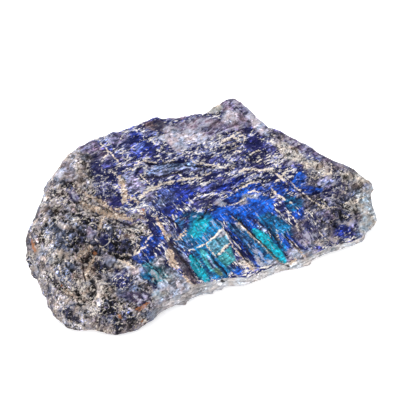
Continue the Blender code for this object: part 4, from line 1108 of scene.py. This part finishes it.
# Clots, and loose flecks and glints, are weaker on the rock by these shares.
CLOTS_LESS = 0.5
FLECKS_AND_GLINTS_LESS = 0.2
# Streaks, cells and fields are as often pale as dark, and this lowers them all a little, in stops.
LOWERED = 0.28
# How strongly frost, grit, and flecks and glints follow clots, fields and standing out, against them where
# negative, so that grit gathers in the hollows.
FOLLOWS = {"frost": (2.5, 3.0, 0.5), "grit": (-3.0, -2.0, -0.6), "flecks_and_glints": (2.0, 3.0, 0.0)}
# Softness of their edges, and of the edges of shadow pits, chips, glint curls and specks, in levels of
# noise.
SOFTNESS = {"frost": 0.06, "grit": 0.05, "shadow_pits": 0.06, "chips": 0.07, "glint_curls": 0.10, "specks": 0.06}
SPECK_SPREAD = 0.6
# Shadow pits, dark where the speck noise is lowest, are painted shadows to go with the pale specks, as a
# share of the grit; chips and glint curls are multiples of the flecks and glints, and chips where there are
# none.
SHADOW_PIT_SHARE = 0.7
CHIP_AND_GLINT_SHARE = 1.2
GLINT_CURL_SHARE = 2.2
CHIPS_AND_GLINTS_ANYWHERE = 0.1
# How near to the edge of its cell a chip is, and to the middle level of its noise a glint curl is, and how
# softly.
CHIP_AND_GLINT_EDGE = (0.05, 0.03)
GLINT_CURL_EDGE = (0.016, 0.012)
FLECK_AND_GLINT_COVER = 0.85
# Kinds of line, in the order in which they are laid: how ragged its edge is in mm, how soft, how fully it
# covers what is under it, and how gaps thin it: factor, shift and most, in mm.
LINE_KINDS = {
    "dust": (1.7, 0.12, 0.94, None),
    "vein": (0.9, 0.10, 0.85, (2.4, -1.10, -0.04)),
    "rust": (1.5, 0.20, 0.85, None),
    "crack_shadow": (0.5, 0.10, 0.88, (1.4, -0.58, 0.0)),
}
# Darker and cream grains in the dust: share and softness. Its unevenness in stops, by grains and streaks.
DUST_SHADE = (0.24, 0.10)
DUST_CREAM = (0.35, 0.12)
DUST_UNEVEN = (1.3, 3.6)
# How much more matt frost and dust are, and how far each pattern stands up in the bump.
FROST_MATT = 0.12
DUST_MATT = 0.30
BUMP_PARTS = {"facet": 0.8, "streak": 1.2, "frosting": 0.7, "grit": -0.35, "fleck": 0.20}


class StoneWiring(Wiring):
    """The stone's material: the painted body colour in lighter and darker cells and streaks, then frost,
    pale chips along the edges of cells with painted glints, tan dust, cream veins, rust, and open cracks
    painted near black as shadow."""

    def __init__(self, material, colours, finish):
        super().__init__(material)
        self.colours = colours
        self.finish = finish
        self.bend(self.noise(*BENDS, output="Color"), finish.bend)
        rising, falling = np.degrees((finish.rising_turn, finish.falling_turn))
        self.turns = (rising, falling, ROCK_TURN, 0.0)
        self.rocky = self.attribute("rocky")
        self.steep = self.attribute("steep")
        self.layered = self.attribute("layered")
        self.shine = self.attribute("shine")
        self.stands = self.attribute("stands")
        self.clot = self.streaks(finish.clot_size, "clots")
        self.streak = self.streaks(finish.streak_size, "streaks")
        self.frosting = self.streaks(finish.frost_size, "frost")
        self.speck = self.streaks(MM, "specks", SPECK_SHAPES)
        self.facet = self.cell(finish.cell_size, "cells")
        face_grains = self.cells(FACE_GRAINS, rising, SHIFTS["grains"])
        self.grains = self.blend(self.rocky, face_grains, self.cells(*ROCK_GRAINS))
        self.field = self.noise(*FIELDS)
        lively = self.noise(*LULLS).centred(LULL_DEPTH) + 1.0
        self.lively = self.blend(self.rocky, 1.0, lively.at_least(LIVELY_LEAST).at_most(LIVELY_MOST))
        self.warmth = self.noise(*WARMTH).above(*WARM_EDGE)

    def sorted_out(self, patterns):
        """One of four patterns: two runs of streaks on the cleaved face, the rock, and the front edge."""
        on_rise, on_fall, on_rock, on_edge = patterns
        inside = self.blend(self.rocky, self.blend(self.steep, on_rise, on_fall), on_rock)
        return self.blend(self.layered, inside, on_edge)

    def streaks(self, size, name, shapes=STREAK_SHAPES):
        """Noise in streaks up or down to the right on the cleaved face, in even grains on the rock, and in
        layers along the front edge."""
        return self.sorted_out([
            self.noise([size / MM * length for length in lengths], turn, SHIFTS[name], detail, roughness)
            for turn, (*lengths, detail, roughness) in zip(self.turns, shapes)])

    def cell(self, size, name, feature="F1", output="Color"):
        """Cells of the same run and shape."""
        return self.sorted_out([
            self.cells([size / MM * length for length in lengths], turn, SHIFTS[name], feature, output)
            for turn, lengths in zip(self.turns, CELL_SHAPES)])

    def shade(self, colour):
        """A screen colour as the stone gives it back."""
        return tuple(self.finish.depth * linear(colour)) + (1.0,)

    def varied(self, name, share):
        """A share, raised or lowered in proportion by clots, fields and standing out."""
        clots, fields, standing = FOLLOWS[name]
        factor = self.clot.centred(clots) + 1.0 + self.field.centred(fields)
        if standing:
            factor = factor + self.stands * standing
        return share * factor

    def grit(self):
        """1 on dark grains, and on pits of painted shadow that go with the pale specks."""
        share = self.varied("grit", self.attribute("grit"))
        grains = self.streaks(self.finish.grit_size, "grit").covers(share, SOFTNESS["grit"])
        shadow_pits = (1.0 - self.speck).covers(share * SHADOW_PIT_SHARE, SOFTNESS["shadow_pits"], SPECK_SPREAD)
        return grains.at_least(shadow_pits)

    def flecks_and_glints(self):
        """1 on nearly white flecks, partly painted glints: chips along the edges of cells, curls of painted
        highlight in the rock, and loose specks.
        """
        share = self.attribute("flecks_and_glints") * self.lively.at_most(FLECKS_AND_GLINTS_MOST)
        edge = self.cell(self.finish.chip_and_glint_size, "chips", "DISTANCE_TO_EDGE", "Distance")
        chips = self.streak.covers(share * CHIP_AND_GLINT_SHARE + CHIPS_AND_GLINTS_ANYWHERE, SOFTNESS["chips"])
        chips = chips * (1.0 - edge.above(*CHIP_AND_GLINT_EDGE))
        off_curve = self.math("ABSOLUTE", self.noise(*GLINT_CURLS) - 0.5)
        glint_curls = self.streak.covers(share * GLINT_CURL_SHARE, SOFTNESS["glint_curls"]) * self.rocky
        glint_curls = glint_curls * (1.0 - off_curve.above(*GLINT_CURL_EDGE))
        loose = self.varied("flecks_and_glints", share * (1.0 - self.rocky * FLECKS_AND_GLINTS_LESS))
        specks = self.speck.covers(loose, SOFTNESS["specks"], SPECK_SPREAD)
        return chips.at_least(glint_curls).at_least(specks)

    def body(self, grit):
        """The painted colour, made brighter or darker by a sum of stops: one term each for clots, for fine
        streaks, for cells, for grains, for wide fields and for how far the place stands out, which paints
        shade into the hollows and lightens the pale bruised ridges. The terms are weaker in the clean flash
        and along the front edge, and dark grit lowers the sum."""
        finish = self.finish
        plain = 1.0 - self.layered * finish.edge_calm
        fine = (self.streak.centred(finish.streak_stops) + self.facet.centred(finish.cell_stops)
                + self.grains.centred(finish.grain_stops))
        wide = self.clot.centred(finish.clot_stops) * (1.0 - self.rocky * CLOTS_LESS)
        stops = fine * self.lively + wide + self.field.centred(finish.field_stops) - LOWERED
        # Standing out darkens hollows as painted shade and lightens the ridges.
        stops = (stops + self.stands * finish.relief_shade_stops) * (1.0 - self.shine * finish.calm) * plain
        light = self.doubled(stops - grit * finish.grit_stops) * finish.depth
        cool = self.mix(self.rocky, (*finish.cool_face, 1.0), (*finish.cool_rock, 1.0))
        warm = self.mix(self.rocky, (*finish.warm_face, 1.0), (*finish.warm_rock, 1.0))
        colour = self.mix(1.0, self.attribute("body", "Color"), light, "MULTIPLY")
        colour = self.mix(plain, colour, self.mix(self.warmth, cool, warm), "MULTIPLY")
        return self.mix(1.0 - self.rocky, colour, rgba(self.colours.glow), "LIGHTEN")

    def frosted(self, colour, frost):
        """The colour under pale frost on the cleaved face, and under chalk on the rock."""
        colours = self.colours
        chalky = self.mix(self.warmth, self.shade(colours.chalk), self.shade(colours.warm_chalk))
        cover = self.blend(self.rocky, self.finish.frost_cover, self.finish.chalk_cover)
        return self.mix(frost * cover, colour, self.mix(self.rocky, self.shade(colours.frost), chalky))

    def dusty(self):
        """The uneven colour of the dust."""
        colours = self.colours
        colour = self.mix(self.speck.covers(*DUST_SHADE), self.shade(colours.dust),
                          self.shade(colours.dust_shade))
        colour = self.mix(self.frosting.covers(*DUST_CREAM), colour, rgba(colours.cream))
        by_grains, by_streaks = DUST_UNEVEN
        uneven = self.grains.centred(by_grains) + self.streak.centred(by_streaks)
        return self.mix(1.0, colour, self.doubled(uneven), "MULTIPLY")

    def lines(self):
        """For each kind of line, where it lies: 1 inside it and 0 outside, with a ragged edge."""
        frayed, gaps = self.noise(*RAGGED), self.noise(*GAPS)
        made = {}
        for name, (ragged, softness, _, thinned) in LINE_KINDS.items():
            inside = self.attribute(name)
            if thinned:
                factor, shift, most = thinned
                inside = inside + (gaps * factor + shift).at_most(most)
            made[name] = (inside + frayed.centred(ragged)).above(0.0, softness)
        return made

    def join_up(self):
        """Joins everything up to the shader."""
        colours, finish, shader = self.colours, self.finish, self.shader
        grit, fleck, lines = self.grit(), self.flecks_and_glints(), self.lines()
        frost = self.frosting.covers(self.varied("frost", self.attribute("frost")), SOFTNESS["frost"])
        colour = self.frosted(self.body(grit), frost)
        # Nearly white flecks on the face and cream ones on the rock, partly painted glints and highlights.
        fleck_and_glint_colour = self.mix(self.rocky, rgba(colours.fleck), rgba(colours.cream))
        colour = self.mix(fleck * FLECK_AND_GLINT_COVER, colour, fleck_and_glint_colour)
        # Cracks are painted near black, as the shadow inside them.
        looks = {"dust": self.dusty(), "vein": rgba(colours.vein), "rust": self.shade(colours.rust),
                 "crack_shadow": self.shade(colours.crack_shadow)}
        for name, (_, _, cover, _) in LINE_KINDS.items():
            colour = self.mix(lines[name] * cover, colour, looks[name])
        self.put(shader.inputs["Base Color"], colour)

        matt = self.blend(self.shine, finish.rock_roughness, finish.flash_roughness)
        matt = matt + frost * FROST_MATT + lines["dust"] * DUST_MATT
        self.put(shader.inputs["Roughness"], matt.at_most(1.0))
        shader.inputs["Specular IOR Level"].default_value = finish.gloss

        patterns = {"facet": self.facet, "streak": self.streak, "frosting": self.frosting, "grit": grit,
                    "fleck": fleck}
        height = 0.0
        for name, factor in BUMP_PARTS.items():
            height = self.math("MULTIPLY_ADD", patterns[name], factor, height)
        inputs = {"Strength": finish.bump_strength, "Distance": finish.bump_height, "Height": height}
        self.put(shader.inputs["Normal"], self.node("Bump", "Normal", inputs))


def plain_number(name, description, default, **kind):
    """A property that is one number."""
    return bpy.props.FloatProperty(name=name, description=description, default=default, **kind)


def metres(name, description, default):
    """A length in metres."""
    return plain_number(name, description, default, unit="LENGTH", subtype="DISTANCE", precision=5)


def angle(name, description, degrees):
    """An angle, given in degrees."""
    return plain_number(name, description, np.radians(degrees), unit="ROTATION", subtype="ANGLE")


def fraction(name, description, default):
    """A share from 0 to 1."""
    return plain_number(name, description, default, min=0.0, max=1.0, subtype="FACTOR")


def three_numbers(name, description, default, **kind):
    """A property that is three numbers."""
    return bpy.props.FloatVectorProperty(name=name, description=description, default=default, **kind)


def tint(name, description, red, green, blue):
    """A screen colour, given in steps of 255."""
    default = (red / 255, green / 255, blue / 255)
    return three_numbers(name, description, default, min=0.0, max=1.0, subtype="COLOR_GAMMA")


def factors(name, description, red, green, blue):
    """Three factors of a colour's red, green and blue."""
    return three_numbers(name, description, (red, green, blue), min=0.0, subtype="XYZ")


def position(name, description, default):
    """A place in metres."""
    return three_numbers(name, description, default, unit="LENGTH", subtype="TRANSLATION")


class StoneColours(bpy.types.PropertyGroup):
    """Colours of the stone. The paints of the face have the names that PAINTS uses."""

    indigo: tint("Indigo", "Cleaved face away from the flash", 57, 62, 120)
    vivid_indigo: tint("Vivid indigo", "Brightest violet-blue patches", 31, 48, 132)
    dim_indigo: tint("Dim indigo", "Greyer parts of the cleaved face", 84, 86, 128)
    deep_indigo: tint("Deep indigo", "Clear dark blue pools", 36, 34, 92)
    bright_indigo: tint("Bright indigo", "Lighter blue parts of the cleaved face", 86, 102, 170)
    dusk: tint("Dusk", "Dark clear indigo between the ledges", 60, 62, 116)
    night: tint("Night", "Nearly black blue", 44, 44, 76)
    navy: tint("Navy", "Dark blue rock", 52, 54, 92)
    plum: tint("Plum", "Purple-grey lumps", 100, 91, 118)
    sky: tint("Sky", "Pale blue-grey streaks", 130, 146, 188)
    lilac: tint("Lilac", "Pale violet-grey facets", 136, 133, 170)
    haze: tint("Haze", "Rosy grey at the back", 128, 116, 136)
    scoop: tint("Scoop", "Whitish hollow at the back", 208, 202, 216)
    azure: tint("Azure", "Blue flash", 18, 88, 192)
    deep_azure: tint("Deep azure", "Darker blue flash", 14, 62, 150)
    teal: tint("Teal", "Main flash", 12, 118, 170)
    cyan: tint("Cyan", "Brightest stripes of the flash", 8, 174, 196)
    sea: tint("Sea green", "Greenish flash", 70, 160, 168)
    dark_teal: tint("Dark teal", "Flash that is turned away", 14, 92, 138)
    steel: tint("Steel", "Greyish blue between the stripes", 56, 104, 158)
    speckled_teal: tint("Speckled teal", "Broken flash at the front left", 56, 130, 146)
    window: tint("Window", "Pale plate in the flash", 84, 142, 164)
    gold_green: tint("Gold green", "Greenest spot of the flash", 112, 148, 120)
    # Darker than the rock beside it: painted shade on the groove's wall.
    frosted: tint("Frosted", "Pale broken edge of the flash", 172, 172, 184)
    groove: tint("Groove", "Brown-grey wall of the long groove", 88, 78, 84)
    rock: tint("Rock", "Grey rock", 100, 98, 112)
    pale_rock: tint("Pale rock", "Light grey rock", 148, 144, 150)
    dark_rock: tint("Dark rock", "Blackish rock", 56, 56, 78)
    blue_rock: tint("Blue rock", "Blue-grey rock", 88, 94, 112)
    brown_rock: tint("Brown rock", "Brownish rock", 98, 86, 86)
    granular: tint("Granular rock", "Pepper-and-salt rock", 130, 124, 126)
    cream_rock: tint("Cream rock", "Light brownish rock", 158, 150, 146)
    grey_rock: tint("Grey rock", "Mottled grey rock at the right", 90, 89, 112)
    olive: tint("Olive rock", "Greenish brown rock", 102, 100, 94)
    tip: tint("Tip", "Milky right end", 194, 198, 198)
    tip_cream: tint("Cream tip", "Cream edges at the back and right", 206, 200, 188)
    waxy_grey: tint("Waxy grey", "Smooth grey faces in the rock", 146, 140, 150)
    waxy_dark: tint("Waxy dark grey", "Smooth darker faces in the rock", 108, 104, 110)
    edge_grey: tint("Edge grey", "Left part of the broken front edge", 160, 160, 166)
    edge_pale: tint("Pale edge", "Right part of the broken front edge", 214, 213, 214)
    underside: tint("Underside", "Base of the stone", 98, 94, 100)
    glow: tint("Glow", "Faint glow of the darkest parts of the cleaved face", 22, 26, 76)
    frost: tint("Frost", "Pale bruised crystal on the face", 190, 194, 222)
    chalk: tint("Chalk", "Pale grains in the rock", 210, 204, 206)
    warm_chalk: tint("Warm chalk", "Warmer pale grains in the rock", 214, 194, 176)
    fleck: tint("Flecks", "Nearly white chips on the face", 255, 248, 240)
    # Flecks and glints: nearly white chips on the face, partly painted glints.
    cream: tint("Cream", "Cream flecks in the rock", 246, 236, 226)
    # Cream also paints the flecks, glints and highlight curls of the rock.
    vein: tint("Veins", "Cream veins", 252, 236, 218)
    dust: tint("Dust", "Tan dust in the cracks", 214, 186, 164)
    dust_shade: tint("Dust shade", "Darker grains of the dust", 96, 80, 74)
    rust: tint("Rust", "Rusty spots", 192, 128, 88)
    # Near black: painted shadow inside the open cracks.
    crack_shadow: tint("Cracks", "Open cracks", 20, 17, 26)


class StoneFinish(bpy.types.PropertyGroup):
    """How the paints are broken up, and how the surface shines."""

    rising_turn: angle("Rising streaks", "Direction of the streaks that run up to the right", 34.0)
    falling_turn: angle("Falling streaks", "Direction of the streaks that run down to the right", -50.0)
    bend: metres("Bend", "How far cells and streaks wander", 0.0004)
    clot_size: metres("Clot size", "Width of the clots of light and dark", 0.001)
    streak_size: metres("Streak size", "Width of the fine streaks", 0.00032)
    frost_size: metres("Frost size", "Width of the grains of frost", 0.00026)
    grit_size: metres("Grit size", "Width of the dark grains", 0.00024)
    cell_size: metres("Cell size", "Width of the cells", 0.00062)
    # Chips along cell edges are pale chips of crystal, partly painted glints.
    chip_and_glint_size: metres("Chip size", "Width of the cells along whose edges pale chips lie", 0.0013)
    chalk_cover: fraction("Chalk cover", "How fully chalk hides the rock under it", 0.5)
    clot_stops: plain_number("Clots", "Doublings of brightness from dark to light clots", 4.0)
    field_stops: plain_number("Fields", "Doublings of brightness from dark to light fields", 2.0)
    grain_stops: plain_number("Grains", "Doublings of brightness from dark to light grains", 5.0)
    cell_stops: plain_number("Cells", "Doublings of brightness from dark to light cells", 2.2)
    streak_stops: plain_number("Streaks", "Doublings of brightness from dark to light streaks", 7.0)
    # Relief: hollows darker as painted shade, ridges lighter as pale bruised crystal.
    relief_shade_stops: plain_number("Relief", "Doublings of brightness from hollows to ridges", 0.5)
    frost_cover: fraction("Frost cover", "How fully frost hides what is under it", 0.7)
    grit_stops: plain_number("Grit", "Halvings of brightness in dark grit", 2.8)
    calm: fraction("Calm of the flash", "How much weaker clots, cells and streaks are in the flash", 0.55)
    edge_calm: fraction("Calm of the edge", "How much weaker they and the tints are on the front edge", 0.5)
    depth: fraction("Depth", "Share of light that the colours give back, under these lamps", 0.78)
    cool_face: factors("Cool face", "Red, green and blue of the cooler places of the face", 0.78, 0.98, 1.05)
    warm_face: factors("Warm face", "Red, green and blue of the warmer places of the face", 1.16, 0.97, 0.97)
    cool_rock: factors("Cool rock", "Red, green and blue of the cooler places of the rock", 0.80, 0.96, 1.22)
    warm_rock: factors("Warm rock", "Red, green and blue of the warmer places of the rock", 1.18, 1.0, 0.86)
    rock_roughness: fraction("Rock roughness", "Roughness of dull rock", 0.6)
    flash_roughness: fraction("Flash roughness", "Roughness of the clean flash", 0.3)
    gloss: fraction("Gloss", "Strength of the reflections", 0.12)
    bump_strength: fraction("Bump strength", "Strength of the fine relief", 0.9)
    bump_height: metres("Bump height", "Height of the fine relief", 0.00045)


class StudioSet(bpy.types.PropertyGroup):
    """The floor, the lights and the camera."""

    floor_size: metres("Floor size", "Side of the square floor", 3.0)
    floor_colour: tint("Floor", "Pale floor", 245, 245, 246)
    room_light: plain_number("Room light", "Even white light", 0.75, min=0.0)
    floor_glow: plain_number("Floor glow", "Light that comes up through the floor", 0.45, min=0.0)
    key_power: plain_number("Key power", "Large soft lamp at the upper left", 3.0, unit="POWER")
    key_size: metres("Key size", "Side of the large lamp", 0.35)
    key_place: position("Key place", "Where the large lamp hangs", (-0.16, 0.26, 0.45))
    fill_power: plain_number("Fill power", "Weaker lamp at the left front", 1.0, unit="POWER")
    fill_place: position("Fill place", "Where the weaker lamp hangs", (-0.20, -0.34, 0.26))
    target: position("Target", "What the camera and the lamps are turned to", (-0.0007, 0.004, 0.005))
    camera_distance: metres("Camera distance", "From the target to the camera", 0.26)
    camera_lift: angle("Camera lift", "Angle of the camera above the floor", 45.0)
    lens: plain_number("Lens", "Focal length in mm", 150.0, unit="CAMERA", subtype="DISTANCE_CAMERA")


def finished(points, quads, triangles, attributes, material):
    """The skin as one smooth object at the origin, in metres, with its attributes and its material."""
    mesh = bpy.data.meshes.new("labradorite_skin")
    faces_of_four, faces_of_three = len(quads), len(triangles)
    mesh.vertices.add(len(points))
    mesh.vertices.foreach_set("co", (points * MM).astype(np.float32).ravel())
    mesh.loops.add(4 * faces_of_four + 3 * faces_of_three)
    corners = np.concatenate([quads.ravel(), triangles.ravel()])
    mesh.loops.foreach_set("vertex_index", corners.astype(np.int32))
    mesh.polygons.add(faces_of_four + faces_of_three)
    starts = 4 * np.arange(faces_of_four), 4 * faces_of_four + 3 * np.arange(faces_of_three)
    mesh.polygons.foreach_set("loop_start", np.concatenate(starts).astype(np.int32))
    mesh.update(calc_edges=True)
    mesh.polygons.foreach_set("use_smooth", np.ones(len(mesh.polygons), bool))
    for name, values in attributes.items():
        if values.ndim == 2:
            layer = mesh.attributes.new(name, "FLOAT_COLOR", "POINT")
            full = np.column_stack([values, np.ones(len(values))])
            layer.data.foreach_set("color", full.astype(np.float32).ravel())
        else:
            layer = mesh.attributes.new(name, "FLOAT", "POINT")
            layer.data.foreach_set("value", values.astype(np.float32))
    mesh.materials.append(material)
    if mesh.validate():
        raise RuntimeError("the skin of the stone has faults")
    skin = bpy.data.objects.new("labradorite_skin", mesh)
    bpy.context.scene.collection.objects.link(skin)
    return skin


class STONE_OT_add_labradorite(bpy.types.Operator):
    """Adds the labradorite's skin, with its colours and finish, over its solid"""

    bl_idname = "stone.add_labradorite"
    bl_label = "Add labradorite"

    def execute(self, context):
        colours = context.scene.stone_colours
        palette = {name: linear(getattr(colours, name)) for name in PAINTS}
        points, quads, triangles, side, way_out, stands = stone_net()
        attributes = skin_attributes(points, side, way_out, stands, palette)
        material = bpy.data.materials.new("broken_labradorite")
        StoneWiring(material, colours, context.scene.stone_finish).join_up()
        skin = finished(points, quads, triangles, attributes, material)
        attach(skin, "root")
        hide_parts(NODE)
        return {"FINISHED"}


def plain_material(name, colour, roughness):
    """One plain colour."""
    material = bpy.data.materials.new(name)
    material.use_nodes = True
    shader = material.node_tree.nodes["Principled BSDF"]
    shader.inputs["Base Color"].default_value = rgba(colour)
    shader.inputs["Roughness"].default_value = roughness
    return material


def turned_to(thing, target):
    """Turns a lamp or a camera so that it looks at the target."""
    way = thing.location - target
    thing.rotation_euler = way.to_track_quat("Z", "Y").to_euler()


def add_lamp(name, place, power, size, target):
    """A square soft lamp that shines at the target."""
    data = bpy.data.lights.new(name, "AREA")
    data.energy = power
    data.size = size
    lamp = bpy.data.objects.new(name, data)
    lamp.location = place
    turned_to(lamp, target)
    bpy.context.scene.collection.objects.link(lamp)


WHITE = (1.0, 1.0, 1.0, 1.0)
FLOOR_ROUGHNESS = 0.9
# Width of the camera's sensor in mm.
SENSOR_WIDTH = 36.0


class STONE_OT_set_stage(bpy.types.Operator):
    """Adds the pale floor, the soft light and the camera"""

    bl_idname = "stone.set_stage"
    bl_label = "Set the stage"

    def execute(self, context):
        scene = context.scene
        stage = scene.stone_stage
        half = 0.5 * stage.floor_size
        mesh = bpy.data.meshes.new("floor")
        mesh.from_pydata([(-half, -half, 0), (half, -half, 0), (half, half, 0), (-half, half, 0)], [],
                         [(0, 1, 2, 3)])
        floor_material = plain_material("pale_floor", stage.floor_colour, FLOOR_ROUGHNESS)
        shader = floor_material.node_tree.nodes["Principled BSDF"]
        shader.inputs["Emission Color"].default_value = WHITE
        shader.inputs["Emission Strength"].default_value = stage.floor_glow
        mesh.materials.append(floor_material)
        floor = bpy.data.objects.new("floor", mesh)
        scene.collection.objects.link(floor)

        world = bpy.data.worlds.new("soft_room")
        world.use_nodes = True
        background = world.node_tree.nodes["Background"]
        background.inputs["Color"].default_value = WHITE
        background.inputs["Strength"].default_value = stage.room_light
        scene.world = world
        target = stage.target.copy()
        add_lamp("key_lamp", stage.key_place, stage.key_power, stage.key_size, target)
        add_lamp("fill_lamp", stage.fill_place, stage.fill_power, stage.key_size, target)

        camera = bpy.data.objects.new("camera", bpy.data.cameras.new("camera"))
        camera.data.lens = stage.lens
        camera.data.sensor_width = SENSOR_WIDTH
        camera.data.clip_start = MM
        camera.location = target
        camera.location.y -= stage.camera_distance * np.cos(stage.camera_lift)
        camera.location.z += stage.camera_distance * np.sin(stage.camera_lift)
        turned_to(camera, target)
        scene.collection.objects.link(camera)
        scene.camera = camera
        scene.view_settings.view_transform = "Standard"
        return {"FINISHED"}


class STONE_PT_sidebar(bpy.types.Panel):
    """The stone's operators and properties in the sidebar"""

    bl_idname = "STONE_PT_sidebar"
    bl_label = "Labradorite"
    bl_space_type = "VIEW_3D"
    bl_region_type = "UI"
    bl_category = "Stone"

    def draw(self, context):
        layout = self.layout
        layout.operator(STONE_OT_add_labradorite.bl_idname)
        layout.operator(STONE_OT_set_stage.bl_idname)
        for group in (context.scene.stone_finish, context.scene.stone_stage, context.scene.stone_colours):
            box = layout.box()
            for name in group.bl_rna.properties.keys():
                if name not in ("rna_type", "name"):
                    box.prop(group, name)


GROUPS = {"stone_colours": StoneColours, "stone_finish": StoneFinish, "stone_stage": StudioSet}
CLASSES = (*GROUPS.values(), STONE_OT_add_labradorite, STONE_OT_set_stage, STONE_PT_sidebar)


def register():
    """Registers the classes and gives the scene their properties."""
    for made in CLASSES:
        bpy.utils.register_class(made)
    for name, group in GROUPS.items():
        setattr(bpy.types.Scene, name, bpy.props.PointerProperty(type=group))


def unregister():
    """Takes the properties off the scene and unregisters the classes."""
    for name in GROUPS:
        delattr(bpy.types.Scene, name)
    for made in reversed(CLASSES):
        bpy.utils.unregister_class(made)


def main():
    """Adds the stone and its stage."""
    register()
    bpy.ops.stone.add_labradorite()
    bpy.ops.stone.set_stage()


if __name__ == "__main__":
    main()
